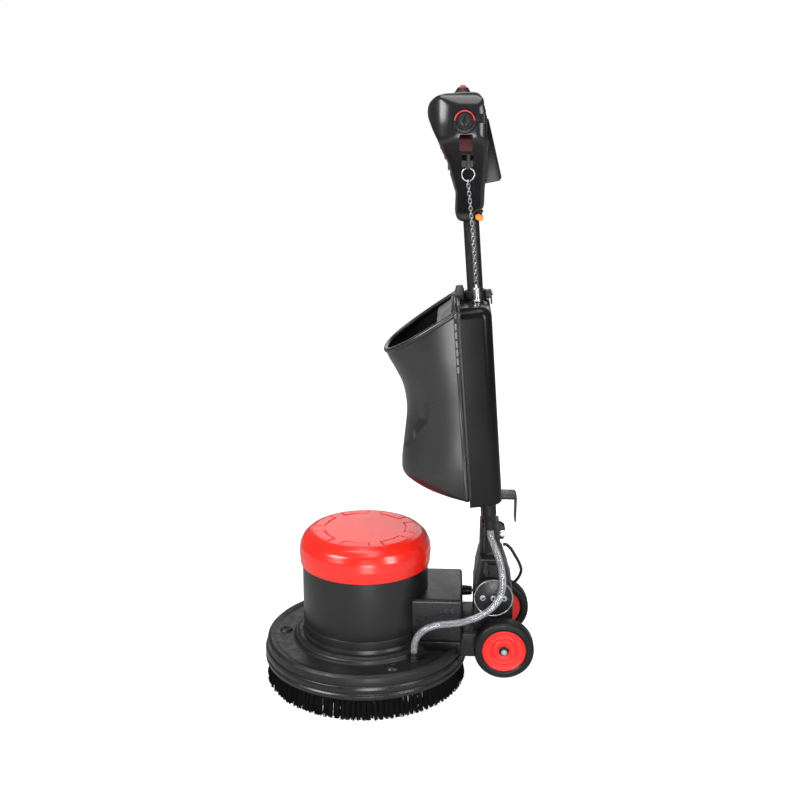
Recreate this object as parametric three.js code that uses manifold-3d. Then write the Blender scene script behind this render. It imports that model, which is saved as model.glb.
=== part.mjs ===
// Single-disc floor scrubbing machine with a solution tank on its handle.
// Millimetres, +Z up. The machine is laid out about the brush's axis (x = 0, y = 0, floor z = 0), with the
// operator behind it at +X, and is then shifted so that the origin is the middle of its footprint.
import * as THREE from 'three';
import { mergeVertices } from 'three/addons/utils/BufferGeometryUtils.js';
import Module from 'manifold-3d';

const wasm = await Module();
wasm.setup();

// ---- Driving dimensions ----
const GAP = 0.3;                 // clearance between pieces that meet
const RUNNING = 0.4;             // clearance of a turning or sliding piece

const BRUSH_RADIUS = 215;
const BRISTLE_LENGTH = 46.7;
const BLOCK_TOP = 61;
const DECK_RADIUS = 213;
const DECK_TOP = 104;
const BUMPER_RADIUS = 219;
const HUB_HOLE_RADIUS = 34.4;

const SHROUD_RADIUS = 133.4;
const SHROUD_TOP = 262;
const HOOD_RADIUS = 139.5;
const HOOD_TOP = 334;

const BOX_REAR = 203;
const BOX_HALF_WIDTH = 82;
const BOX_TOP = 204;
const BOX_FOOT = 112;
const ARM_HALF_WIDTH = 80;

const AXLE = { x: 294, z: 112, radius: 6.5 };
const WHEEL_RADIUS = 62;
const WHEEL_HUB_RADIUS = 45;
const WHEEL_INNER = 84;
const WHEEL_OUTER = 121;
const GLAND = { y: 69, z: 162, end: 230 };
const BARB = { x: 109, y: -122, top: 107 };

const PIVOT = { x: 272, z: 206, radius: 41, pin: 10 };
const HANDLE_LEAN = THREE.MathUtils.degToRad(4.3);
const PLATE_INNER = 49;
const PLATE_OUTER = 62;

const TUBE_RADIUS = 15.75;
const TUBE_WALL = 2.25;
const TUBE_START = 36;           // distances along the handle from the pivot
const TUBE_END = 855;
const LEVER_SLOT = { low: 784, high: 812 };
const CLAMP_BOLT = { x: 290, z: 331 };

const TANK_BOTTOM = 225;
const TANK_TOP = 622;
const TANK_SEAM = 37.3;          // the tank halves meet this far in front of the tube's axis
const TANK_REAR = 24;
const TANK_HALF_WIDTH = 120;
const TANK_WALL = 4;
const TANK_CHANNEL = 17.5;       // half width of the slot that the tube runs in
const VALVE = { x: 2, y: -40 };  // the drain valve's place beside the tube
const SPOUT_END = 144;
const MOUTH = { tipReach: 187, tipHeight: 532, rearHeight: 616 };

const GRIP = { x: 197, z: 1175, radius: 15 };
const CONSOLE_HALF_WIDTH = 190;
const HEAD_HALF_WIDTH = 46;
const LEVER_PIVOT = { x: 166, z: 1143 };
const SOLUTION_PIVOT = { x: 182, y: -139, z: 1117 };
const TILT_PIVOT = { x: 234, z: 999 };
const BUTTON_X = 194;
const RING = { x: 205, y: -139, z: 1079, radius: 13, wire: 1.3 };
const STRAP_HALF_WIDTH = 3.5;

const SUN_TEETH = 9;
const PLANET_TEETH = 33;
const RING_TEETH = SUN_TEETH + 2 * PLANET_TEETH;
const GEAR_MODULE = 1.75;
const BACKLASH = 0.18;            // taken off each flank
const GEAR_BOTTOM = 117.5;
const GEAR_TOP = 133.5;
const PLANET_COUNT = 3;
const CARRIER_RADIUS = GEAR_MODULE * (SUN_TEETH + PLANET_TEETH) / 2;

const HOSE_RADIUS = 6.5;
const CABLE_RADIUS = 3.4;
const FOOTPRINT_MIDDLE = (AXLE.x + WHEEL_RADIUS - BUMPER_RADIUS) / 2;

const ROUND = 28;                // sides of a large round
const INNER_ROUND = 20;          // of a hidden motor or gearbox piece
const WHEEL_SIDES = 24;
const SMALL_ROUND = 12;          // of a small round

// ---- Shape helpers ----
function closed(points) {
  const ring = points.map(([x, y]) => new THREE.Vector2(x, y));
  return THREE.ShapeUtils.isClockWise(ring) ? ring.reverse() : ring;
}

// A solid turned about Z from a profile of [radius, z] points.
function turned(profile, segments = ROUND) {
  const ring = closed(profile);
  ring.push(ring[0].clone());
  const geometry = new THREE.LatheGeometry(ring, segments);
  return geometry.rotateX(Math.PI / 2);
}

// The same about an axis along Y, with a profile of [radius, y] points.
function turnedY(profile, x, z, segments = ROUND) {
  return turned(profile.map(([radius, y]) => [radius, -y]), segments).rotateX(Math.PI / 2).translate(x, 0, z);
}

// An [x, z] outline carried along Y.
function prismY(outline, yLow, yHigh) {
  const shape = new THREE.Shape(closed(outline));
  const geometry = new THREE.ExtrudeGeometry(shape, { depth: yHigh - yLow, bevelEnabled: false });
  return geometry.rotateX(Math.PI / 2).translate(0, yHigh, 0);
}

// A [y, z] outline carried along X.
function prismX(outline, xLow, xHigh) {
  const shape = new THREE.Shape(closed(outline));
  const geometry = new THREE.ExtrudeGeometry(shape, { depth: xHigh - xLow, bevelEnabled: false });
  return geometry.rotateX(Math.PI / 2).rotateZ(Math.PI / 2).translate(xLow, 0, 0);
}

// An [x, y] outline carried along Z.
function prismZ(outline, zLow, zHigh, steps = 1) {
  const shape = new THREE.Shape(closed(outline));
  const geometry = new THREE.ExtrudeGeometry(shape, { depth: zHigh - zLow, bevelEnabled: false, steps });
  return geometry.translate(0, 0, zLow);
}

function block(xLow, xHigh, yLow, yHigh, zLow, zHigh) {
  const geometry = new THREE.BoxGeometry(xHigh - xLow, yHigh - yLow, zHigh - zLow);
  return geometry.translate((xLow + xHigh) / 2, (yLow + yHigh) / 2, (zLow + zHigh) / 2);
}

function rodY(x, z, radius, yLow, yHigh, sides = SMALL_ROUND) {
  return new THREE.CylinderGeometry(radius, radius, yHigh - yLow, sides).translate(x, (yLow + yHigh) / 2, z);
}

function rodX(y, z, radius, xLow, xHigh, sides = SMALL_ROUND) {
  const geometry = new THREE.CylinderGeometry(radius, radius, xHigh - xLow, sides).rotateZ(Math.PI / 2);
  return geometry.translate((xLow + xHigh) / 2, y, z);
}

function rodZ(x, y, radius, zLow, zHigh, sides = SMALL_ROUND) {
  const geometry = new THREE.CylinderGeometry(radius, radius, zHigh - zLow, sides).rotateX(Math.PI / 2);
  return geometry.translate(x, y, (zLow + zHigh) / 2);
}

function circle(radius, sides) {
  const shape = new THREE.Shape();
  for (let i = 0; i < sides; i += 1) {
    const angle = 2 * Math.PI * i / sides;
    const place = [radius * Math.cos(angle), radius * Math.sin(angle)];
    if (i === 0) shape.moveTo(...place);
    else shape.lineTo(...place);
  }
  return shape;
}

function tube(points, radius, sides, steps) {
  const path = new THREE.CatmullRomCurve3(points.map((p) => new THREE.Vector3(...p)));
  return new THREE.ExtrudeGeometry(circle(radius, sides), { steps, extrudePath: path, bevelEnabled: false });
}

function arc(x, z, radius, fromDegrees, toDegrees, steps) {
  return Array.from({ length: steps + 1 }, (_, i) => {
    const angle = THREE.MathUtils.degToRad(fromDegrees + (toDegrees - fromDegrees) * i / steps);
    return [x + radius * Math.cos(angle), z + radius * Math.sin(angle)];
  });
}

// Moves a shape from the handle's own frame (z along the tube, from the pivot) to the machine's.
function onHandle(geometry) {
  return geometry.rotateY(-HANDLE_LEAN).translate(PIVOT.x, 0, PIVOT.z);
}

function solid(geometry) {
  const bare = geometry.clone();
  bare.deleteAttribute('normal');
  bare.deleteAttribute('uv');
  const merged = mergeVertices(bare, 1e-3);
  return new wasm.Manifold(new wasm.Mesh({
    numProp: 3,
    vertProperties: merged.attributes.position.array,
    triVerts: merged.index.array,
  }));
}

function geometryOf(manifold) {
  const mesh = manifold.getMesh();
  const geometry = new THREE.BufferGeometry();
  geometry.setAttribute('position', new THREE.BufferAttribute(mesh.vertProperties, 3));
  geometry.setIndex(new THREE.BufferAttribute(mesh.triVerts, 1));
  return geometry;
}

const join = (...shapes) => geometryOf(shapes.map(solid).reduce((all, next) => all.add(next)));
const cut = (body, ...tools) => geometryOf(
  tools.map(solid).reduce((left, tool) => left.subtract(tool), solid(body)),
);
const overlapOf = (a, b) => geometryOf(solid(a).intersect(solid(b)));

// ---- Finishes ----
const FINISHES = {
  satinBlack: [0x1b1c1e, 0.45, 0.0],
  softBlack: [0x101112, 0.75, 0.0],
  castBlack: [0x202123, 0.5, 0.3],
  tankGrey: [0x3a3b3d, 0.4, 0.0],
  lidGrey: [0x8d8f90, 0.5, 0.0],
  hoodRed: [0xd8201c, 0.3, 0.0],
  hubRed: [0xe32420, 0.4, 0.0],
  leverRed: [0x8c1512, 0.4, 0.0],
  tipOrange: [0xf08a1c, 0.45, 0.0],
  rubber: [0x161617, 0.85, 0.0],
  bristle: [0x0d0d0e, 0.8, 0.0],
  steel: [0xb4b6b8, 0.3, 0.9],
  chrome: [0xd8dadc, 0.15, 1.0],
  brass: [0xb08d45, 0.35, 0.9],
  copper: [0x9a5a32, 0.5, 0.6],
  clearHose: [0xdfe6f0, 0.1, 0.0],
};

function piece(name, geometry, finish) {
  const [color, roughness, metalness] = FINISHES[finish];
  const mesh = new THREE.Mesh(geometry, new THREE.MeshStandardMaterial({ color, roughness, metalness }));
  mesh.name = name;
  return mesh;
}

// ---- Base: deck, bumper, wheel frame ----
const deckOutside = [
  [DECK_RADIUS, 84], [211, 92], [205, 97], [199, 95], [192, 91.5], [158, 91], [152, 93], [148, 101],
  [143, DECK_TOP],
];

function baseDeck() {
  const inside = [[HUB_HOLE_RADIUS, 97], [146, 97], [150, 85], [196, 85], [205, 82], [207, 50]];
  return turned([[DECK_RADIUS, 50], ...deckOutside, [HUB_HOLE_RADIUS, DECK_TOP], ...inside]);
}

// Everything the deck and its bumper fill, with a gap round it, for cutting what stands on them.
function deckSpace() {
  const lifted = deckOutside.slice(1).map(([radius, z]) => [radius + GAP, z + 2 * GAP]);
  const side = BUMPER_RADIUS + 2 * GAP;
  return turned([[0, 20], [side, 20], [side, 82], ...lifted, [0, DECK_TOP + 2 * GAP]]);
}

function bumperRing() {
  const inner = DECK_RADIUS + GAP;
  const ridges = [[217, 47.5], [BUMPER_RADIUS, 51], [BUMPER_RADIUS, 56], [215.5, 60], [BUMPER_RADIUS, 64],
    [BUMPER_RADIUS, 70], [216, 75]];
  return turned([[inner, 47.5], ...ridges, [inner, 77]]);
}

function frameSidePlate(yLow, yHigh) {
  const left = PIVOT.x - PIVOT.radius;
  const right = PIVOT.x + PIVOT.radius;
  const top = arc(PIVOT.x, PIVOT.z, PIVOT.radius, 0, 180, 12);
  return prismY([[left, 92], [AXLE.x - 12, 92], [right, 110], ...top], yLow, yHigh);
}

function wheelFrame() {
  const foot = block(96, 206, -BOX_HALF_WIDTH, BOX_HALF_WIDTH, 60, BOX_FOOT);
  const arm = block(203, 262, -ARM_HALF_WIDTH, ARM_HALF_WIDTH, 78, 131);
  const beam = block(255, AXLE.x, -ARM_HALF_WIDTH, ARM_HALF_WIDTH, AXLE.z - 16, AXLE.z + 16);
  const boss = rodY(AXLE.x, AXLE.z, 16, -ARM_HALF_WIDTH, ARM_HALF_WIDTH);
  const near = frameSidePlate(-PLATE_OUTER, -PLATE_INNER);
  const far = frameSidePlate(PLATE_INNER, PLATE_OUTER);
  const body = join(foot, arm, beam, boss, near, far);
  const shroud = rodZ(0, 0, SHROUD_RADIUS + 4, 50, 150, ROUND);
  const axleBore = rodY(AXLE.x, AXLE.z, AXLE.radius + GAP, -100, 100);
  const pinBore = rodY(PIVOT.x, PIVOT.z, PIVOT.pin + GAP, -100, 100);
  return cut(body, deckSpace(), shroud, axleBore, pinBore);
}

function pivotDisc(side) {
  const faces = [side * (PLATE_OUTER + GAP), side * (PLATE_OUTER + 3.5)];
  const heads = [faces[1] - side, side * (PLATE_OUTER + 8)];
  const disc = rodY(PIVOT.x, PIVOT.z, PIVOT.radius, Math.min(...faces), Math.max(...faces), ROUND);
  const [low, high] = heads.sort((a, b) => a - b);
  const bolts = [-23, 0, 23].map((x) => rodY(PIVOT.x + x, PIVOT.z, 5.5, low, high, 6));
  return join(disc, ...bolts);
}

const pivotPin = () => rodY(PIVOT.x, PIVOT.z, PIVOT.pin, -PLATE_OUTER, PLATE_OUTER);
const axleRod = () => rodY(AXLE.x, AXLE.z, AXLE.radius, -WHEEL_OUTER - 3, WHEEL_OUTER + 3);

function boxCover() {
  const wall = 3.5;
  const outer = block(90, BOX_REAR, -BOX_HALF_WIDTH, BOX_HALF_WIDTH, BOX_FOOT + GAP, BOX_TOP);
  const outside = cut(outer, rodZ(0, 0, SHROUD_RADIUS + 0.8, 90, 280, ROUND));
  const half = BOX_HALF_WIDTH - wall;
  const inner = block(90, BOX_REAR - wall, -half, half, 100, BOX_TOP - wall);
  const hollow = cut(inner, rodZ(0, 0, SHROUD_RADIUS + wall + 0.8, 90, 280, ROUND));
  return cut(outside, hollow, rodX(GLAND.y, GLAND.z, 7.5, BOX_REAR - 10, BOX_REAR + 10));
}

function cableGland() {
  const bore = CABLE_RADIUS + 1.6;
  const face = BOX_REAR + GAP;
  const outside = [[7, 196], [7, face], [12, face], [12, 212], [9.5, 214], [9.5, 224], [6.5, GLAND.end]];
  const outline = [[bore, 196], ...outside, [bore, GLAND.end]];
  return turned(outline, SMALL_ROUND).rotateY(Math.PI / 2).translate(0, GLAND.y, GLAND.z);
}

const runCapacitor = () => rodY(172, 152, 20, -62, 30);

function hoseBarb() {
  const top = BARB.top - 2 * GAP;
  const outline = [[0, 85], [9.5, 85], [9.5, 97], [7.5, 99], [7.5, top], [0, top]];
  return cut(turned(outline, SMALL_ROUND).translate(BARB.x, BARB.y, 0), deckSpace());
}

// ---- Motor and gearbox ----
function motorShroud() {
  const wall = 3;
  const inside = SHROUD_RADIUS - wall;
  const low = DECK_TOP + GAP;
  return turned([[SHROUD_RADIUS + 3, low], [SHROUD_RADIUS, low + 8], [SHROUD_RADIUS, SHROUD_TOP + 4],
    [inside, SHROUD_TOP + 4], [inside, low]]);
}

function motorHood() {
  const outside = [[137.6, SHROUD_TOP], [HOOD_RADIUS, 286], [137, 305], [129, 320], [114, 331],
    [104, HOOD_TOP]];
  const inside = [[0, HOOD_TOP - 4], [104, HOOD_TOP - 4], [124, 320], [134.4, 290], [134.4, SHROUD_TOP]];
  return turned([...outside, [0, HOOD_TOP], ...inside]);
}

function gearHousing() {
  const floor = DECK_TOP + GAP;
  const outline = [[22, 92], [34, 92], [34, floor], [92, floor], [92, 141], [80.2, 141], [80.2, 109],
    [22, 109]];
  return turned(outline, INNER_ROUND);
}

const outputBearing = () => turned([[14.3, 94], [21.7, 94], [21.7, 108], [14.3, 108]], INNER_ROUND);
const lowerShield = () => turned([[17.5, 141.3], [92, 141.3], [92, 149], [17.5, 149]], INNER_ROUND);
const lowerBearing = () => turned([[12.8, 141.5], [17, 141.5], [17, 149], [12.8, 149]], INNER_ROUND);

function motorCasing() {
  const outline = [[82.4, 149.3], [88, 149.3], [88, 258], [10.6, 258], [10.6, 252], [82.4, 252]];
  return turned(outline, INNER_ROUND);
}

function stator() {
  const outline = [[48.8, 158], [66, 158], [66, 170], [82, 170], [82, 235], [66, 235], [66, 247],
    [48.8, 247]];
  return turned(outline, INNER_ROUND);
}

// One gear tooth after another: a root and a tip point on each side, thinned for backlash.
function gearOutline(teeth, rootRadius, tipRadius, thinning, phase = 0) {
  const pitch = GEAR_MODULE * teeth / 2;
  const pressure = THREE.MathUtils.degToRad(20);
  const base = pitch * Math.cos(pressure);
  const involute = (radius) => {
    const angle = Math.acos(Math.min(1, base / Math.max(radius, base)));
    return Math.tan(angle) - angle;
  };
  const halfAt = (radius) => Math.PI / (2 * teeth) + involute(pitch) - involute(radius) - thinning / pitch;
  const radii = [rootRadius, tipRadius];
  const points = [];
  for (let tooth = 0; tooth < teeth; tooth += 1) {
    const middle = phase + 2 * Math.PI * tooth / teeth;
    const flank = radii.map((radius) => [radius, halfAt(radius)]);
    const rising = flank.map(([radius, half]) => [radius, middle - half]);
    const falling = flank.map(([radius, half]) => [radius, middle + half]).reverse();
    points.push(...[...rising, ...falling].map(([r, a]) => [r * Math.cos(a), r * Math.sin(a)]));
  }
  return points;
}

function outsideGear(teeth, zLow, zHigh, phase) {
  const pitch = GEAR_MODULE * teeth / 2;
  const outline = gearOutline(teeth, pitch - 1.25 * GEAR_MODULE, pitch + 0.9 * GEAR_MODULE, BACKLASH, phase);
  return prismZ(outline, zLow, zHigh);
}

function ringGear() {
  const pitch = GEAR_MODULE * RING_TEETH / 2;
  // The gaps of an internal gear have the shape of an outside gear's teeth, a little fatter.
  const gaps = gearOutline(RING_TEETH, pitch - 0.9 * GEAR_MODULE, pitch + 1.25 * GEAR_MODULE, -BACKLASH);
  const blank = rodZ(0, 0, 79, GEAR_BOTTOM - 0.5, GEAR_TOP + 0.5, INNER_ROUND);
  return cut(blank, prismZ(gaps, GEAR_BOTTOM - 5, GEAR_TOP + 5));
}

const planetAngle = (index) => 2 * Math.PI * index / PLANET_COUNT;

function planetGear(index) {
  const angle = planetAngle(index);
  // A planet has a tooth pointing at the ring and, its count being odd, a gap facing the sun.
  const gear = outsideGear(PLANET_TEETH, GEAR_BOTTOM, GEAR_TOP, angle);
  const bored = cut(gear, rodZ(0, 0, 5 + RUNNING, 100, 150, 12));
  return bored.translate(CARRIER_RADIUS * Math.cos(angle), CARRIER_RADIUS * Math.sin(angle), 0);
}

function planetCarrier() {
  const body = turned([[0, 63], [14, 63], [14, 110], [58, 110], [58, 116.8], [0, 116.8]], INNER_ROUND);
  const pins = Array.from({ length: PLANET_COUNT }, (_, i) => {
    const angle = planetAngle(i);
    return rodZ(CARRIER_RADIUS * Math.cos(angle), CARRIER_RADIUS * Math.sin(angle), 5, 115, 136, 12);
  });
  return join(body, ...pins);
}

function motorShaft() {
  const sun = outsideGear(SUN_TEETH, GEAR_BOTTOM, 137, 0);
  const shaft = turned([[0, 136.5], [12, 136.5], [12, 240], [10, 240], [10, 296], [0, 296]], SMALL_ROUND);
  return join(sun, shaft);
}

const rotorCore = () => turned([[12.4, 166], [48, 166], [48, 239], [12.4, 239]], INNER_ROUND);

function coolingFan() {
  const disc = turned([[10.4, 266], [84, 266], [84, 269], [20, 269], [20, 288], [10.4, 288]], INNER_ROUND);
  const blade = (index) => block(18, 82, -1.2, 1.2, 268, 286).rotateZ(Math.PI * index / 4);
  return join(disc, ...Array.from({ length: 8 }, (_, i) => blade(i)));
}

// ---- Brush ----
const bristleRing = () => turned([
  [95, 0], [BRUSH_RADIUS, 0], [207, BRISTLE_LENGTH], [88, BRISTLE_LENGTH],
]);

function brushBlock() {
  const seat = BLOCK_TOP - 4;
  return turned([[40, 47], [205, 47], [205, BLOCK_TOP], [80, BLOCK_TOP], [80, 72], [64.2, 72],
    [64.2, seat], [40, seat]]);
}

function drivePlate() {
  const outline = [[14.4, 57.4], [63.6, 57.4], [63.6, 70], [26, 70], [26, 78], [14.4, 78]];
  return turned(outline, INNER_ROUND);
}

// ---- Wheels ----
function tyre(side) {
  const profile = [[45.3, 86], [47, WHEEL_INNER], [58, WHEEL_INNER], [WHEEL_RADIUS, 90], [WHEEL_RADIUS, 115],
    [58, WHEEL_OUTER], [47, WHEEL_OUTER], [45.3, 119]];
  return turnedY(profile.map(([radius, y]) => [radius, side * y]), AXLE.x, AXLE.z, WHEEL_SIDES);
}

function wheelHub(side) {
  const bore = AXLE.radius + RUNNING;
  const profile = [[bore, 82], [15, 82], [15, 90], [WHEEL_HUB_RADIUS, 90], [WHEEL_HUB_RADIUS, 118.5],
    [40, 118.5], [24, 114], [22, 118], [bore, 118]];
  return turnedY(profile.map(([radius, y]) => [radius, side * y]), AXLE.x, AXLE.z, WHEEL_SIDES);
}

// ---- Handle, lower end ----
const handleTube = () => onHandle(cut(
  turned([[TUBE_RADIUS - TUBE_WALL, TUBE_START], [TUBE_RADIUS, TUBE_START], [TUBE_RADIUS, TUBE_END],
    [TUBE_RADIUS - TUBE_WALL, TUBE_END]], SMALL_ROUND),
  block(8, 20, -5.5, 5.5, LEVER_SLOT.low, LEVER_SLOT.high),
));

function tiltCasting() {
  const lowerArc = arc(PIVOT.x, PIVOT.z, PIVOT.radius, -180, 0, 14);
  const halfWidth = PLATE_INNER - 2 * GAP;
  const forkOutline = [...lowerArc, [309, 245], [299, 276], [241, 276], [230.5, 225]];
  const neckOutline = [[241, 270], [299, 270], [296, 290], [283, 306], [281, 356], [243, 356], [241, 290]];
  const lugOutline = [[279, 314], [294, 316], [298, 326], [296, 344], [288, 350], [279, 350]];
  const fork = prismY(forkOutline, -halfWidth, halfWidth);
  const neck = prismY(neckOutline, -24, 24);
  const lug = prismY(lugOutline, -14, 14);
  const tubeBore = onHandle(rodZ(0, 0, TUBE_RADIUS + GAP, TUBE_START - GAP, 200));
  const lockBore = onHandle(rodZ(0, 0, 8.1, 0, TUBE_START + 1, 16));
  const slit = block(276, 305, -1.5, 1.5, 300, 360);
  const pinBore = rodY(PIVOT.x, PIVOT.z, PIVOT.pin + RUNNING, -60, 60);
  const boltBore = rodY(CLAMP_BOLT.x, CLAMP_BOLT.z, 3.3, -40, 40, 12);
  return cut(join(fork, neck, lug), tubeBore, lockBore, slit, pinBore, boltBore);
}

function clampBolt() {
  const shank = rodY(CLAMP_BOLT.x, CLAMP_BOLT.z, 3, -18, 16, 12);
  const head = rodY(CLAMP_BOLT.x, CLAMP_BOLT.z, 5.5, -19, -14.4, 6);
  const nut = rodY(CLAMP_BOLT.x, CLAMP_BOLT.z, 5.5, 14.4, 19, 6);
  return join(shank, head, nut);
}

function lockRod() {
  const plunger = [[0, 10.6], [7.6, 10.6], [7.6, 30]];
  const stem = [[3, 34], [3, 796], [8, 796], [8, 800], [0, 800]];
  return onHandle(turned([...plunger, ...stem], SMALL_ROUND));
}

function cordHook() {
  const bore = TUBE_RADIUS + GAP;
  const collar = onHandle(turned([[bore, 198], [21, 198], [21, 214], [bore, 214]], SMALL_ROUND));
  const arm = block(275, 318, -20, 20, 407, 417);
  const prong = prismY([[311, 410], [318, 410], [317, 358], [313.5, 358]], -20, 20);
  return join(collar, arm, prong);
}

// ---- Tank ----
// Height along the tube, reach in front of the tube's axis and half width of the front half's sections.
const tankSections = [
  [229, 60, 96], [239, 100, 104], [251, 134, 108], [266, 158, 110], [279, 171, 111], [303, 171, 112],
  [335, 165.5, 112], [367, 159.5, 112], [400, 154, 113], [425, 153.5, 114], [459, 158, 116], [493, 171, 118],
  [532, 187, 120], [624, 200, 120],
];

// The front half's shell without its flange: a D outline carried up and fitted to each section in turn.
function tankBody(inset) {
  const outline = arc(0, 0, 1, 90, 270, 14).map(([x, y]) => {
    const squared = (value) => Math.sign(value) * Math.abs(value) ** 0.82;
    return [squared(x), squared(y)];
  });
  const levels = tankSections.length - 1;
  const geometry = prismZ([...outline], 0, levels, levels);
  const position = geometry.attributes.position;
  for (let i = 0; i < position.count; i += 1) {
    const [height, reach, half] = tankSections[Math.round(position.getZ(i))];
    const x = position.getX(i) * (reach - TANK_SEAM - inset) - TANK_SEAM - GAP;
    position.setXYZ(i, x, position.getY(i) * (half - inset), height + inset);
  }
  return geometry;
}

function flangePlate(xLow, xHigh) {
  const half = TANK_HALF_WIDTH + 4;
  const top = TANK_TOP + 8;
  const low = TANK_BOTTOM;
  const outline = [[-half + 12, low], [half - 12, low], [half, low + 14], [half, top - 12], [half - 12, top],
    [-half + 12, top], [-half, top - 12], [-half, low + 14]];
  return prismX(outline, xLow, xHigh);
}

function tankFront() {
  const shell = join(tankBody(0), flangePlate(-TANK_SEAM - 8, -TANK_SEAM - GAP));
  const throughRear = block(-TANK_SEAM - 12, -TANK_SEAM + 5, -106, 106, 240, 596);
  const hollow = join(cut(tankBody(TANK_WALL), block(-TANK_SEAM - 8, 50, -200, 200, 0, 700)), throughRear);
  const run = MOUTH.tipReach - TANK_SEAM;
  const slope = Math.atan2(MOUTH.rearHeight - MOUTH.tipHeight, run);
  const sloped = block(-400, 400, -200, 200, 0, 300).rotateY(-slope);
  const above = sloped.translate(-TANK_SEAM - 8.2, 0, MOUTH.rearHeight - 4);
  const aboveCut = cut(above, block(-TANK_SEAM - 8, 500, -250, 250, 0, 1200));
  return onHandle(cut(shell, hollow, aboveCut));
}

function tankRearOutline(inset, front) {
  const half = TANK_HALF_WIDTH - inset;
  const rear = TANK_REAR - inset;
  const channel = TANK_CHANNEL + inset;
  const bend = 22 - inset;
  const corner = arc(rear - bend, half - bend, bend, 90, 0, 5);
  const mirrored = corner.map(([x, y]) => [x, -y]).reverse();
  const slot = [[rear, channel], [-channel, channel], [-channel, -channel], [rear, -channel]];
  return [[front, half], ...corner, ...slot, ...mirrored, [front, -half]];
}

function tankRear() {
  const shell = prismZ(tankRearOutline(0, -TANK_SEAM), TANK_BOTTOM, TANK_TOP);
  const rim = flangePlate(-TANK_SEAM, -TANK_SEAM + 6);
  const inside = tankRearOutline(TANK_WALL, -TANK_SEAM - 5);
  const hollow = prismZ(inside, TANK_BOTTOM + TANK_WALL, TANK_TOP - TANK_WALL);
  const rodHole = rodZ(VALVE.x, VALVE.y, 3.6, TANK_TOP - 10, TANK_TOP + 10, 12);
  const drain = rodZ(VALVE.x, VALVE.y, 8, TANK_BOTTOM - 10, TANK_BOTTOM + 10, 12);
  return onHandle(cut(join(shell, rim), hollow, rodHole, drain));
}

// The fixed grey cover over the back of the mouth, with the post that bolts it to the tank's top.
function fillerCover() {
  const slope = (MOUTH.rearHeight - MOUTH.tipHeight) / (MOUTH.tipReach - TANK_SEAM);
  const front = -79;
  const rear = -TANK_SEAM - 8 - GAP;
  const height = (x) => MOUTH.rearHeight - 8 + slope * (x - rear);
  const plate = prismY([[front, height(front) - 4], [rear, height(rear) - 4], [rear, height(rear) + 26],
    [rear - 4, height(rear) + 26], [rear - 4, height(rear)], [front, height(front)]], -98, 98);
  const bridge = block(rear - 4, -24, -12, 12, TANK_TOP + 8.3, TANK_TOP + 14);
  const post = rodZ(-31, 0, 8.5, TANK_TOP + 8.3, TANK_TOP + 24, 16);
  const head = rodZ(-31, 0, 6, TANK_TOP + 23, TANK_TOP + 28, 6);
  return onHandle(join(plate, bridge, post, head));
}

function tankClamp() {
  const low = TANK_TOP + GAP;
  const high = low + 17;
  const bored = TUBE_RADIUS + GAP;
  const ring = turned([[bored, low], [21.5, low], [21.5, high], [bored, high]], 24);
  const tail = block(19, 31.5, -14, 14, low - 16, high);
  const tailClear = block(0, TANK_REAR + 2 * GAP, -30, 30, low - 30, low);
  const bore = rodZ(0, 0, bored, low - 40, low + 40);
  return onHandle(cut(join(ring, tail), tailClear, bore));
}

function valveGland() {
  const low = TANK_TOP + GAP;
  const sleeve = turned([[3.6, low], [7.5, low], [7.5, 650], [3.6, 650]], 16);
  return onHandle(sleeve.translate(VALVE.x, VALVE.y, 0));
}

function outletSpout() {
  const top = TANK_BOTTOM - GAP;
  const outline = [[9, top], [17, top], [17, top - 8], [14.5, top - 10], [14.5, 176], [11.5, SPOUT_END],
    [4.5, SPOUT_END], [4.5, top - 12], [9, top - 8]];
  return onHandle(turned(outline, SMALL_ROUND).translate(VALVE.x, VALVE.y, 0));
}

function valveRod() {
  const seat = TANK_BOTTOM + TANK_WALL + 0.4;
  const outline = [[0, 216], [3, 216], [3, seat], [12, seat], [9, seat + 7.6], [3, seat + 7.6], [3, 655],
    [0, 655]];
  return onHandle(turned(outline, 12).translate(VALVE.x, VALVE.y, 0));
}

// ---- Console ----
// Outlines of the whole console and of the hand openings either side of the head, from the side in x and z
// and from the front in y and z, and of the room inside the head.
const consoleSide = [
  [162, 1217], [147, 1214], [135, 1207], [128.5, 1196], [129, 1178], [138, 1156], [147, 1139], [155, 1118],
  [163, 1103], [170, 1078], [175, 1061], [181, 1040], [182, 1000], [188, 988], [219, 988], [220, 1004],
  [242, 1004], [242, 1060], [243, 1172], [234, 1214], [228, 1217],
];
const consoleHalf = [
  [32, 985], [36, 1002], [118, 1079], [165, 1122], [CONSOLE_HALF_WIDTH, 1146], [CONSOLE_HALF_WIDTH, 1200],
  [182, 1212], [165, 1217],
];
const pocketSide = [
  [160, 1211], [146, 1207], [136, 1196], [137, 1180], [146, 1158], [155, 1141], [163, 1120], [171, 1105],
  [179, 1078], [188, 1040], [188, 1020], [260, 1020], [260, 1211],
];
const pocketHalf = [
  [HEAD_HALF_WIDTH, 1024], [52, 1027], [118, 1089], [160, 1127], [182, 1150], [182, 1211],
  [HEAD_HALF_WIDTH, 1211],
];
const headInside = [
  [165, 1208], [150, 1200], [146, 1180], [158, 1150], [172, 1120], [184, 1085], [190, 1068], [232, 1068],
  [232, 1208],
];

function mirroredOutline(half) {
  return [...half, ...half.map(([y, z]) => [-y, z]).reverse()];
}

function consolePocket(side) {
  const across = pocketHalf.map(([y, z]) => [side * y, z]);
  return overlapOf(prismY(pocketSide, -200, 200), prismX(across, 100, 280));
}

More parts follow.
